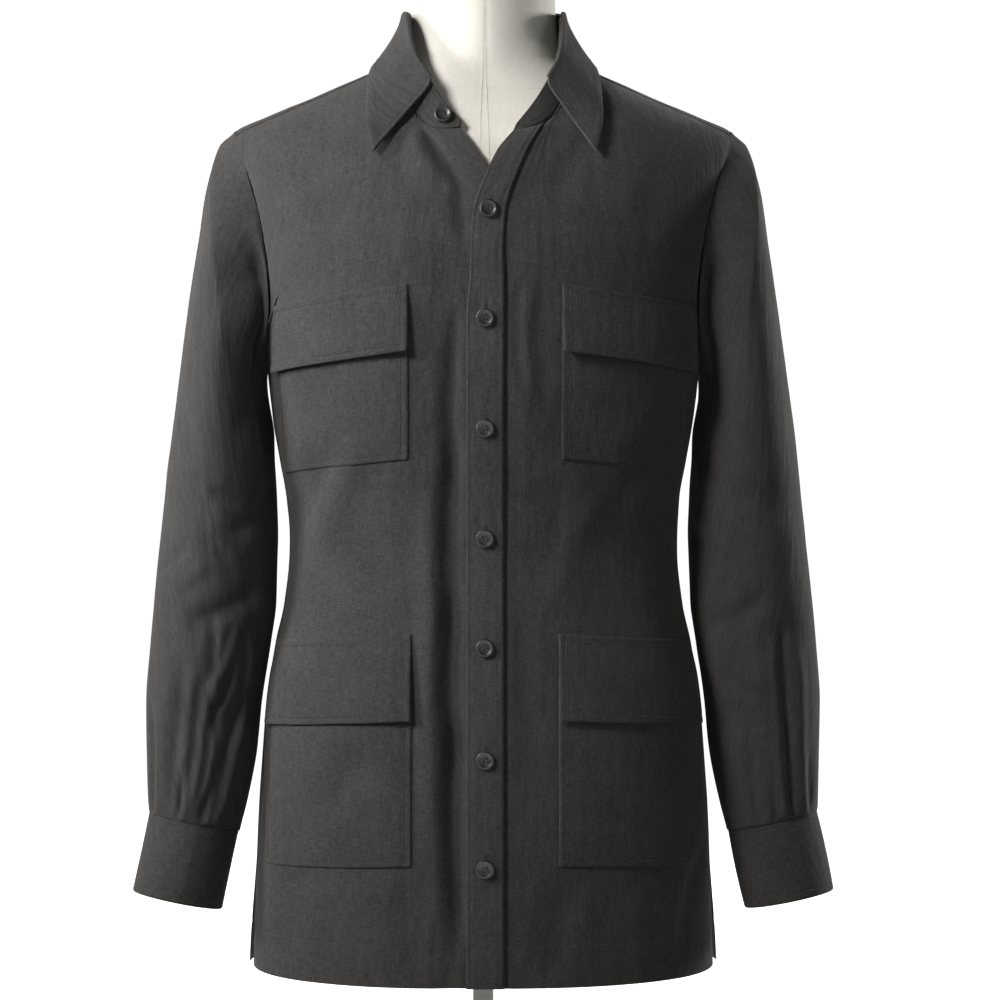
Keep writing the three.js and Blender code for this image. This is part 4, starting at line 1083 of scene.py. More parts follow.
def linen(name, ground, thread, slub_share, roughness, bump_depth, pitch, washed_depth):
    """Plain-woven slubby linen: a matt crosshatch of uneven threads with thicker, paler slubs.

    A real thread is about half a millimetre wide. Pitch draws it as coarse as it needs to show."""
    material, tree, surface = new_material(name)
    place = add_node(tree, "ShaderNodeTexCoord").outputs["UV"]
    rate = 1 / (pitch * MM)
    slow = rate / 9
    weave = maths(tree, "ADD", *(streaks(tree, place, fine) for fine in ((rate, slow, 1), (slow, rate, 1))))
    slub_warp = streaks(tree, place, (rate * 0.8, slow * 0.55, 1), 0.0)
    slub_weft = streaks(tree, place, (slow * 0.7, rate * 0.8, 1), 0.0)
    raised = remap(tree, maths(tree, "MAXIMUM", slub_warp, slub_weft), 0.62, 0.84, 0.0, 1.0)
    blotch = remap(tree, noise(tree, place, 26.0, 4.0), 0.3, 0.7, -0.12, 0.12)
    tone = maths(tree, "ADD", remap(tree, weave, 0.55, 1.45, 0.0, 1.0), blotch)
    cloth = blend(tree, tone, linear(ground), linear(thread))
    slub = [min(1.0, 1.7 * v) for v in linear(thread)[:3]] + [1]
    slubbed = blend(tree, maths(tree, "MULTIPLY", raised, slub_share), cloth, slub)
    tree.links.new(slubbed, surface.inputs["Base Color"])
    washed = streaks(tree, place, (85, 30, 1), 3.0)
    washed = add_node(tree, "ShaderNodeBump", None, Strength=0.7, Distance=washed_depth * MM, Height=washed)
    height = maths(tree, "MULTIPLY_ADD", raised, 0.5, weave)
    links = {"Strength": 0.55, "Distance": bump_depth * MM, "Height": height, "Normal": washed.outputs[0]}
    bump = add_node(tree, "ShaderNodeBump", None, **links)
    tree.links.new(bump.outputs[0], surface.inputs["Normal"])
    surface.inputs["Roughness"].default_value = roughness
    surface.inputs["Specular IOR Level"].default_value = 0.18
    surface.inputs["Sheen Weight"].default_value = 0.08
    surface.inputs["Sheen Roughness"].default_value = 0.5
    return material


def plain_finish(name, colour, pale, scale, roughness, bump, coat=0.0):
    """A moulded, turned or sprayed finish: even colour with a slight mottle and its own gloss."""
    material, tree, surface = new_material(name)
    place = add_node(tree, "ShaderNodeTexCoord").outputs["Object"]
    mottle = noise(tree, place, scale, 5.0)
    tree.links.new(blend(tree, mottle, linear(colour), linear(pale)), surface.inputs["Base Color"])
    gloss = remap(tree, mottle, 0.3, 0.7, roughness - 0.05, roughness + 0.05)
    tree.links.new(gloss, surface.inputs["Roughness"])
    relief = add_node(tree, "ShaderNodeBump", None, Strength=0.3, Distance=bump * MM, Height=mottle)
    tree.links.new(relief.outputs[0], surface.inputs["Normal"])
    surface.inputs["Coat Weight"].default_value = coat
    return material


def glowing(tree, surface, glow):
    """Makes a stage surface shine white by itself."""
    tree.links.new(glow, surface.inputs["Emission Strength"])
    surface.inputs["Emission Color"].default_value = linear("#FFFFFF")


@lru_cache(maxsize=None)
def finish(name):
    settings = bpy.context.scene.overshirt
    if name == "shirt linen":
        # Linen of dark and pale yarns, washed soft: matt, slubby and lightly streaked
        return linen("Yarn-dyed washed linen", settings.ground, settings.thread, 0.15, 0.92, 0.1, 0.75, 1.5)
    if name == "form linen":
        # Bleached linen stretched over padding: pale, matt and finely woven
        return linen("Bleached linen form cover", "#D6D2C8", "#E4E0D6", 0.08, 0.9, 0.08, 0.8, 0.15)
    finishes = {
        # Spun polyester: matt, a little paler than the cloth so that the rows show
        "thread": ("Spun polyester sewing thread", "#34332F", "#45433F", 900, 0.75, 0.05),
        # Painted shade: frayed ends of dark yarn drawn near-black, standing in for the shadow deep in the slit
        # where hardly any light reaches
        "painted slit shade": ("Raw cut linen", "#0B0A0A", "#171615", 700, 0.95, 0.05),
        # Spun cotton of the form's own seams: matt and a little darker than its cover
        "form thread": ("Bleached cotton thread", "#CFC9BC", "#DDD8CC", 900, 0.8, 0.05),
        # Cast polyester made to look like horn: dark, faintly streaked, half gloss from tumbling
        "button": ("Tumbled cast polyester button", "#12110F", "#211E1B", 260, 0.42, 0.03, 0.12),
        # Powder-coated steel: white, even, with a fine orange-peel
        "stand": ("White powder-coated steel", "#DEDDD9", "#E9E8E5", 420, 0.42, 0.05),
    }
    return plain_finish(*finishes[name])


# Stitching

YOKE_STITCH = 0.16  # rows from the yoke's lower edge to its stitching
SHOULDER_STITCH = 0.14  # rows from its upper edge to the stitching along the shoulders
SHOULDER_END = 7.6  # columns from its side edge to where that stitching ends


def stitch_tree(material):
    """Geometry Nodes that lay one short thread after another along the lines of a mesh."""
    tree = bpy.data.node_groups.new("Row of stitches", "GeometryNodeTree")
    face = tree.interface
    face.new_socket("Lines", in_out="INPUT", socket_type="NodeSocketGeometry")
    for name in ("Stitch pitch", "Stitch length", "Thread radius"):
        face.new_socket(name, in_out="INPUT", socket_type="NodeSocketFloat")
    face.new_socket("Stitches", in_out="OUTPUT", socket_type="NodeSocketGeometry")
    start = add_node(tree, "NodeGroupInput")
    curve = add_node(tree, "GeometryNodeMeshToCurve", None, Mesh=start.outputs["Lines"])
    even = add_node(tree, "GeometryNodeResampleCurve", {"mode": "LENGTH"}, Curve=curve.outputs[0])
    tree.links.new(start.outputs["Stitch pitch"], even.inputs["Length"])
    tangent = add_node(tree, "GeometryNodeInputTangent")
    turn = add_node(tree, "FunctionNodeAlignRotationToVector", {"axis": "Z"}, Vector=tangent.outputs[0])
    ball = add_node(tree, "GeometryNodeMeshIcoSphere", None, Radius=1.0, Subdivisions=1)
    half = maths(tree, "MULTIPLY", start.outputs["Stitch length"], 0.5)
    radius = start.outputs["Thread radius"]
    size = add_node(tree, "ShaderNodeCombineXYZ", None, X=radius, Y=radius, Z=half)
    links = {"Points": even.outputs[0], "Instance": ball.outputs[0]}
    placed = add_node(tree, "GeometryNodeInstanceOnPoints", None, **links)
    tree.links.new(turn.outputs[0], placed.inputs["Rotation"])
    tree.links.new(size.outputs[0], placed.inputs["Scale"])
    real = add_node(tree, "GeometryNodeRealizeInstances", None, Geometry=placed.outputs[0])
    soft = add_node(tree, "GeometryNodeSetShadeSmooth", None, Geometry=real.outputs[0])
    done = add_node(tree, "GeometryNodeSetMaterial", None, Geometry=soft.outputs[0], Material=material)
    add_node(tree, "NodeGroupOutput", None, Stitches=done.outputs[0])
    return tree


def stitched(name, lines, thread="thread", pitch=None, length=None, radius=None):
    """Rows of stitches along lines, each given as points in millimetres."""
    settings = bpy.context.scene.overshirt
    vertices, edges = [], []
    for line in lines:
        first = len(vertices)
        vertices += (np.asarray(line) * MM).tolist()
        edges += [(first + i, first + i + 1) for i in range(len(line) - 1)]
    mesh = bpy.data.meshes.new(name + "_lines")
    mesh.from_pydata(vertices, edges, [])
    carrier = linked(name + "_lines", mesh)
    tree = stitch_tree(finish(thread))
    modifier = carrier.modifiers.new("Stitches", "NODES")
    modifier.node_group = tree
    sizes = {
        "Stitch pitch": pitch or settings.stitch_pitch,
        "Stitch length": length or settings.stitch_pitch * 0.8,
        "Thread radius": radius or settings.thread_radius,
    }
    for item in tree.interface.items_tree:
        if item.in_out == "INPUT" and item.name in sizes:
            modifier[item.identifier] = sizes[item.name]
    graph = bpy.context.evaluated_depsgraph_get()
    result = bpy.data.meshes.new_from_object(carrier.evaluated_get(graph))
    result.name = name
    piece = linked(name, result)
    carrier.modifiers.remove(modifier)
    bpy.data.objects.remove(carrier)
    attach(piece, "root")


def inset_frame(under, rows, sizes, lift, sides):
    """Stitching inside the edges of a pocket or flap: sides are left, bottom, right and top."""
    v = EDGE_STITCH / sizes[0] * (rows[1] - rows[0])
    u = EDGE_STITCH / sizes[1] * (POCKET_PLACES[1] - POCKET_PLACES[0])
    low, high = rows[0] + v, rows[1] - v
    left, right = POCKET_PLACES[0] + u, POCKET_PLACES[1] - u
    top = high if "T" in sides else rows[1]
    ends = {
        "L": ((top, left), (low, left)),
        "B": ((low, left), (low, right)),
        "R": ((low, right), (top, right)),
        "T": ((high, left), (high, right)),
    }
    places = np.linspace(0, 1, 40)
    lines = []
    for side in sides:
        (r0, c0), (r1, c1) = ends[side]
        line_rows, line_columns = r0 + (r1 - r0) * places, c0 + (c1 - c0) * places
        height = lift((line_rows - rows[0]) / (rows[1] - rows[0]) * sizes[0])
        lines.append(under.line(line_rows, line_columns, np.reshape(height, (-1, 1))))
    return lines


def sewn(node, points, normals, thickness, offset, held, rests_on, closed=False):
    """A piece of the shirt's cloth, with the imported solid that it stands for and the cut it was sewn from."""
    name = "placket" if node == "front_placket" else node
    piece = shell(name + "_cloth", points, normals, thickness, finish("shirt linen"), closed, offset)
    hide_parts(node)


def laid_patch(node, under, rows, columns, sizes, lift, offset, rests_on, free=(True,) * 4):
    """A patch on a panel between two rows and two columns, made from the panel's own points."""
    row_places, row_marks = spread(*rows, sizes[0], 6)
    column_places, column_marks = spread(*columns, sizes[1], 6)
    points, normals = under.at(row_places, column_places)
    height = edge_relief(row_marks, column_marks, PATCH, free=free) + lift(row_marks, column_marks)
    points = points + normals * height[..., None]
    sewn(node, points, normals, PATCH * 0.92, offset, "laid", [rests_on])


def pocket_span(used, low, high):
    """A pocket's rows between two of its places, and their distance."""
    return (used[low], used[high]), ROWS[used[high], 0] - ROWS[used[low], 0]


def flap_height(up, drop, lift, over=0.0):
    """A flap is sewn along its top and stands off the pocket at its free lower edge."""
    share = np.clip(1 - up / drop, 0, 1)
    return PATCH_BASE + (PATCH_BASE + 0.3) * smooth(share * 2.2) + lift * share**1.6 + over


class OvershirtSettings(bpy.types.PropertyGroup):
    ground: StringProperty(name="Ground colour", description="Dark threads, sRGB hex", default="#282726")
    thread: StringProperty(name="Thread colour", description="Pale threads, sRGB hex", default="#464442")
    stitch_pitch: FloatProperty(
        name="Stitch pitch",
        description="Length from one stitch to the next",
        default=3.0 * MM,
        unit="LENGTH",
    )
    thread_radius: FloatProperty(
        name="Thread radius",
        description="Radius of the sewing thread, drawn a little coarse so that it shows",
        default=0.32 * MM,
        unit="LENGTH",
    )


class StageSettings(bpy.types.PropertyGroup):
    distance: FloatProperty(
        name="Camera distance",
        description="From the middle of the form to the camera",
        default=2.4,
        unit="LENGTH",
    )
    turn: FloatProperty(
        name="Camera turn",
        description="Turn of the camera round the form, towards the wearer's right",
        default=math.radians(0.7),
        subtype="ANGLE",
    )
    height: FloatProperty(name="Camera height", description="Above the floor", default=0.611, unit="LENGTH")
    seen_width: FloatProperty(
        name="Width in view",
        description="What the picture spans at the form's middle",
        default=0.87,
        unit="LENGTH",
    )
    shift: FloatVectorProperty(
        name="Picture shift",
        description="Shift of the picture, in picture widths",
        size=2,
        default=(0.0167, -0.07),
    )
    key_power: FloatProperty(name="Key light", description="From the front left", default=7.8, unit="POWER")
    side_power: FloatProperty(name="Side light", description="From the left", default=11.5, unit="POWER")
    fill_power: FloatProperty(name="Fill light", description="Front right", default=6.0, unit="POWER")
    front_power: FloatProperty(name="Front light", description="By the camera", default=2.5, unit="POWER")
    back_power: FloatProperty(name="Back lights", description="Behind the form", default=20.0, unit="POWER")


# Operators


class OVERSHIRT_OT_body(bpy.types.Operator):
    """Fronts, back and yoke"""

    bl_idname = "overshirt.body"
    bl_label = "Body panels"

    def execute(self, context):
        offsets = {"front_left": (0, 0), "front_right": (417, 13), "back": (911, 37), "yoke": (143, 803)}
        for node, offset in offsets.items():
            under = panel(node)
            held = "draped" if node == "yoke" else "hung"
            sewn(node, under.points, under.normals, CLOTH_SHOWN, offset, held, ["dress_form"])
        return {"FINISHED"}


class OVERSHIRT_OT_pockets(bpy.types.Operator):
    """Front placket, pockets and flaps"""

    bl_idname = "overshirt.pockets"
    bl_label = "Placket, pockets and flaps"

    def execute(self, context):
        left = panel("front_left")
        across, marks = spread(0, 2, PLACKET_WIDTH, 3, PLACKET_STITCH)
        points, normals = left.at(left.rows, across)
        height = edge_relief(run_lengths(points[:, 3]), marks, PATCH, PLACKET_STITCH) + PATCH_BASE
        height = height + PLACKET_TILT * across / 2
        points = points + normals * height[..., None]
        sewn("front_placket", points, normals, 1.1, (77, 210), "laid", ["front_left_cloth"])
        for side in ("left", "right"):
            for place in POCKETS:
                self.pocket(panel("front_" + side), place, side)
        return {"FINISHED"}

    def pocket(self, under, place, side):
        used = POCKETS[place]
        bag, flap = f"{place}_pocket_{side}", f"{place}_flap_{side}"
        offset = (37 * len(bag) + (0 if side == "left" else 60), 19 * len(place))
        rows, tall = pocket_span(used, "bottom", "mouth")
        flap_rows, drop = pocket_span(used, "flap", "top")

        def bag_lift(up, across):
            """A pocket bag hangs a little away from the front between its sewn edges."""
            from_edge = np.minimum(across, across[-1] - across)[None, :]
            return PATCH_BASE + 0.9 * (smooth(from_edge / 34) * smooth(up / 40)[:, None])

        def flap_lift(up, across):
            wave = 0.5 * np.sin(across / 23 + len(flap))[None, :] * np.clip(1 - up / drop, 0, 1)[:, None]
            return flap_height(up, drop, used["lift"])[:, None] + wave

        sizes, free = (tall, used["wide"]), (True, False, True, True)
        laid_patch(bag, under, rows, POCKET_PLACES, sizes, bag_lift, offset, f"front_{side}_cloth", free)
        sizes, offset = (drop, used["wide"]), (offset[0] + 11, 350)
        laid_patch(flap, under, flap_rows, POCKET_PLACES, sizes, flap_lift, offset, bag + "_cloth")


class OVERSHIRT_OT_sleeves(bpy.types.Operator):
    """Sleeves, sleeve plackets and cuffs"""

    bl_idname = "overshirt.sleeves"
    bl_label = "Sleeves and cuffs"

    def execute(self, context):
        last = len(SLEEVE_RINGS) - 1
        rows = (last - SLEEVE_PLACKET_RINGS, last - 0.02)
        columns = (PLACKET_LONGITUDE, PLACKET_LONGITUDE + 1)
        for side, offset in (("left", (601, 0)), ("right", (1207, 0))):
            node = "sleeve_" + side
            under = panel(node)
            rests_on = ["yoke_cloth", f"front_{side}_cloth"]
            sewn(node, under.points, under.normals, CLOTH_SHOWN, offset, "hung", rests_on, closed=True)
            strip = "sleeve_placket_" + side
            cloth = node + "_cloth"
            laid_patch(
                strip, under, rows, columns, SLEEVE_PLACKET_SIZE, lambda *_: PATCH_BASE, (30, 40), cloth
            )
            sewn("cuff_" + side, *cuff_grid(side), DOUBLED, (offset[0] + 90, 700), "hung", [cloth])
        return {"FINISHED"}


def cuff_grid(side):
    """A cuff's outer points and facing directions, from its button end round to the lap."""
    sweep = 360 + CUFF_OVERLAP
    girth = math.radians(sweep) * (CUFF_ACROSS + CUFF_DEEP) / 2
    places, marks = spread(0, 1, girth, 4)
    down, rows = spread(0, 1, CUFF_LENGTH, 5)
    grow = CUFF_LAP * smooth((places - CUFF_LAP_FROM) / CUFF_LAP_OVER)
    turn = CUFF_START + places * sweep
    points = cuff_point(turn[None, :], (down * CUFF_LENGTH)[:, None], grow[None, :])
    centre = CUFF_TOP + (down * CUFF_LENGTH)[:, None, None] * CUFF_AXIS
    normals = unit(points - centre)
    seed = 2 if side == "left" else 6
    sag = 0.8 * np.sin(np.radians(turn) * 2 + seed)[None, :] * np.sin(np.pi * down)[:, None]
    height = edge_relief(rows, marks, DOUBLED) + sag + 0.5 * unevenness(marks[None, :], rows[:, None], seed)
    points = points + normals * height[..., None]
    return (points, normals) if side == "left" else (mirrored(points), mirrored(normals))


class OVERSHIRT_OT_collar(bpy.types.Operator):
    """Collar stand and leaf"""

    bl_idname = "overshirt.collar"
    bl_label = "Collar"

    def execute(self, context):
        for name, offset in (("collar_stand", (300, 900)), ("collar_leaf", (20, 950))):
            points, normals = collar_grid(name)
            if name == "collar_stand":  # its lower edge is caught behind the neckline
                down = unit(points[0] - points[4])
                tucked = points[0] + down * 3.5 - normals[0] * 1.5
                points = np.concatenate([tucked[None], points])
                normals = np.concatenate([normals[:1], normals])
            sewn(name, points, normals, DOUBLED * 0.95, offset, "folded", ["yoke_cloth"])
        return {"FINISHED"}


def collar_grid(name):
    """The outer points of the stand or the leaf and their facing directions."""
    under = panel(name)
    stands = name == "collar_stand"
    tall, wide = (STAND_HEIGHT, STAND_LENGTH) if stands else (LEAF_DEPTH, LEAF_LENGTH)
    row_places, row_marks = spread(0, under.rows[-1], tall, 3)
    column_places, column_marks = spread(0, under.columns[-1], wide, 4)
    points, normals = under.at(row_places, column_places)
    free = (stands, True, True, True)
    relief = edge_relief(row_marks, column_marks, DOUBLED, free=free)
    wave = 0.5 * unevenness(column_marks[None, :], row_marks[:, None], 4)
    return points + normals * (relief + wave * smooth(row_marks / 20)[:, None])[..., None], normals


def turned_solid(outline, sides):
    """A closed solid turned about the upright axis from radius and height pairs."""
    angles = np.radians(np.arange(sides) * 360 / sides)
    vertices, rings = [], []
    for radius, height in outline:
        first = len(vertices)
        if radius == 0:
            vertices.append((0, 0, height))
            rings.append([first] * sides)
        else:
            vertices += [(radius * math.cos(a), radius * math.sin(a), height) for a in angles]
            rings.append(list(range(first, first + sides)))
    faces = []
    for lower, upper in zip(rings, rings[1:]):
        for i in range(sides):
            face = [lower[i], lower[(i + 1) % sides], upper[(i + 1) % sides], upper[i]]
            faces.append(list(dict.fromkeys(face)))
    return vertices, [face for face in faces if len(face) > 2]


class OVERSHIRT_OT_buttons(bpy.types.Operator):
    """Four-hole buttons; their thread is laid with the stitching"""

    bl_idname = "overshirt.buttons"
    bl_label = "Buttons"

    def execute(self, context):
        shape = self.drilled_button()
        for node, place, normal in button_places():
            mesh = shape.copy()
            turn = Vector((0, 0, 1)).rotation_difference(Vector(normal)).to_matrix().to_4x4()
            spin = Matrix.Rotation(math.radians(7 * (len(node) + ord(node[-1])) % 23), 4, "Z")
            mesh.transform(Matrix.Translation(Vector(place) * MM) @ turn @ spin)
            button = linked(node + "_horn", mesh)
            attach(button, "root")
            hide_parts(node)
        return {"FINISHED"}

    def drilled_button(self):
        """A turned disc with a raised rim, a dished middle and four holes; the thread through them is laid with
        the stitching.
        """
        r, t = BUTTON_RADIUS, BUTTON_THICKNESS
        outline = [(0, 0), (5.9, 0), (6.9, 0.35), (r, 1.1), (r, 2.0), (7.15, 2.6), (6.6, t), (6.0, t)]
        outline += [(5.4, 2.65), (4.9, 2.25), (3.0, 2.05), (0, 2.0)]
        vertices, faces = turned_solid(outline, 40)
        body = loose_object("button_body", vertices, faces)
        drills = []
        points, sides = turned_solid([(0, -1), (0.8, -1), (0.8, 4), (0, 4)], 14)
        for x in (-BUTTON_HOLE_OFF, BUTTON_HOLE_OFF):
            for y in (-BUTTON_HOLE_OFF, BUTTON_HOLE_OFF):
                drill = loose_object("drill", np.array(points) + (x, y, 0), sides)
                cut = body.modifiers.new("Hole", "BOOLEAN")
                cut.object = drill
                cut.operation = "DIFFERENCE"
                drills.append(drill)
        graph = bpy.context.evaluated_depsgraph_get()
        mesh = bpy.data.meshes.new_from_object(body.evaluated_get(graph))
        body.modifiers.clear()
        for spare in (body, *drills):
            bpy.data.objects.remove(spare)
        mesh.materials.clear()
        mesh.materials.append(finish("button"))
        mesh.polygons.foreach_set("use_smooth", [True] * len(mesh.polygons))
        mesh.set_sharp_from_angle(angle=math.radians(38))
        return mesh


def loose_object(name, vertices, faces):
    mesh = bpy.data.meshes.new(name)
    mesh.from_pydata((np.asarray(vertices, float) * MM).tolist(), [], faces)
    mesh.update()
    return linked(name, mesh)


def row_at(under, column, z):
    """The row of a panel whose point in a column lies at a height."""
    rows = np.linspace(0, under.rows[-1], 400)
    heights = under.at(rows, [column])[0][:, 0, 2]
    return float(np.interp(z, heights, rows))


@lru_cache(maxsize=None)
def button_places():
    """Each button's node, the place of its back and the way it faces."""
    places = []
    left = panel("front_left")
    for i, z in enumerate(BUTTON_HEIGHTS):
        p, n = left.at([row_at(left, 1, z)], [1])
        lift = PATCH_BASE + PLACKET_TILT / 2 + BUTTON_GAP
        places.append((f"button_{i + 1}", p[0, 0] + n[0, 0] * lift, n[0, 0]))
    stand = panel("collar_stand")
    p, n = stand.at([1], [stand.columns[-1] - 1])
    places.append(("collar_button", p[0, 0] + n[0, 0] * BUTTON_GAP, n[0, 0]))
    turn = CUFF_START + CUFF_OVERLAP / 2
    spot = cuff_point(turn, CUFF_LENGTH / 2, CUFF_LAP + BUTTON_GAP)
    out = unit(spot - CUFF_TOP - CUFF_AXIS * CUFF_LENGTH / 2)
    spot = spot + out * 0.6
    places.append(("cuff_button_left", spot, out))
    places.append(("cuff_button_right", mirrored(spot), mirrored(out)))
    return places


class OVERSHIRT_OT_stitching(bpy.types.Operator):
    """Topstitching, buttonholes and the thread in the buttons"""

    bl_idname = "overshirt.stitching"
    bl_label = "Stitching"

    def execute(self, context):
        left = panel("front_left")
        stitched("body_topstitching", self.body_rows(left))
        stitched("pocket_topstitching", self.pocket_rows())
        trims = []
        for name in ("collar_stand", "collar_leaf"):
            trims += edge_rows(*collar_grid(name), name == "collar_leaf")
        for side in ("left", "right"):
            trims += edge_rows(*cuff_grid(side), False)
        stitched("collar_and_cuff_topstitching", trims)
        self.buttonholes(left)
        return {"FINISHED"}

    def body_rows(self, left):
        """Both edges of the placket, the hems and the yoke's seams."""
        lines = []
        rows = np.linspace(0.02, left.rows[-1] - 0.05, 260)
        for share in (PLACKET_STITCH / PLACKET_WIDTH, 1 - PLACKET_STITCH / PLACKET_WIDTH):
            points, normals = left.at(rows, [2 * share])
            lines.append(points[:, 0] + normals[:, 0] * (PATCH_BASE - 0.25 + PLACKET_TILT * share))
        right, back, yoke = (panel(name) for name in ("front_right", "back", "yoke"))
        for under, first, last in ((left, 2.1, 12.9), (right, 0.1, 12.9), (back, 0.15, BACK_STEPS - 0.15)):
            columns = np.linspace(first, last, 160)
            hem_rows = [row_at(under, c, HEM_Z + HEM_DEPTH) for c in columns[::8]]
            lines.append(under.line(np.interp(columns, columns[::8], hem_rows), columns, 0.1))
        last = yoke.columns[-1]
        lines.append(yoke.line(np.full(200, YOKE_STITCH), np.linspace(0.2, last - 0.2, 200), 0.35))
        for first, end in ((0.2, SHOULDER_END), (last - SHOULDER_END, last - 0.2)):
            rows = np.full(60, yoke.rows[-1] - SHOULDER_STITCH)
            lines.append(yoke.line(rows, np.linspace(first, end, 60), 0.3))
        return lines

    def pocket_rows(self):
        """Round each pocket and each flap."""
        lines = []
        for side in ("left", "right"):
            under = panel("front_" + side)
            for used in POCKETS.values():
                rows, tall = pocket_span(used, "bottom", "flap")
                lines += inset_frame(under, rows, (tall, used["wide"]), lambda up: PATCH_BASE + 0.15, "LBR")
                rows, drop = pocket_span(used, "flap", "top")
                heights = partial(flap_height, drop=drop, lift=used["lift"], over=0.1)
                lines += inset_frame(under, rows, (drop, used["wide"]), heights, "LBRT")
        return lines

    def buttonholes(self, left):
        """A worked slit through the placket behind each button, with a near-black row of painted shade along
        the slit, and thread through the holes.
        """
        bars, slit_shades, threads = [], [], []
        face = PATCH_BASE + PLACKET_TILT / 2
        for z in BUTTON_HEIGHTS:
            for step in np.arange(-8, 12, 0.7):
                middle, normal = left.at([row_at(left, 1, z + step)], [1])
                middle, normal = middle[0, 0], normal[0, 0]
                across = unit(np.cross(normal, (0, 0, 1)))
                for side in (-1, 1):
                    start = middle + normal * (face + 0.12) + across * side * 0.35
                    bars.append(np.array([start, start + across * side * 0.9]))
            # A near-black row along each slit paints the shade deep in the cut
            rows = [row_at(left, 1, z + step) for step in np.linspace(-8, 11.5, 12)]
            slit_shades.append(left.line(rows, [1] * len(rows), face + 0.1))
        for _, place, normal in button_places():
            across = unit(np.cross(normal, (0.1, 0, 1)))
            up = np.cross(across, normal)
            for side in (-1, 1):
                middle = place + normal * 2.15 + across * side * BUTTON_HOLE_OFF
                threads.append(np.array([middle - up * 1.5, middle + normal * 0.35, middle + up * 1.5]))
        stitched("buttonhole_thread", bars, pitch=0.9 * MM, length=1.0 * MM, radius=0.28 * MM)
        stitched("buttonhole_cut", slit_shades, thread="painted slit shade", pitch=1.0 * MM, length=1.6 * MM, radius=0.3 * MM)
        stitched("button_thread", threads, pitch=0.75 * MM, length=1.5 * MM, radius=0.34 * MM)


def edge_rows(points, normals, skip_first_row):
    """Stitch lines 6 mm inside a patch's free edges, read off the grid lines kept there by spread()."""
    last_row, last_column = points.shape[0] - 1 - EDGE_LINE, points.shape[1] - 1 - EDGE_LINE
    raised = points + normals * 0.28
    rows = [last_row] if skip_first_row else [last_row, EDGE_LINE]
    lines = [raised[r, EDGE_LINE : last_column + 1] for r in rows]
    first = 1 if skip_first_row else EDGE_LINE
    return lines + [raised[first : last_row + 1, c] for c in (EDGE_LINE, last_column)]


def neck_seam(turn):
    """Height of the seam round the form's neck."""
    return NECK_SEAM_Z + NECK_SEAM_RISE * (1 - np.cos(np.radians(turn))) / 2


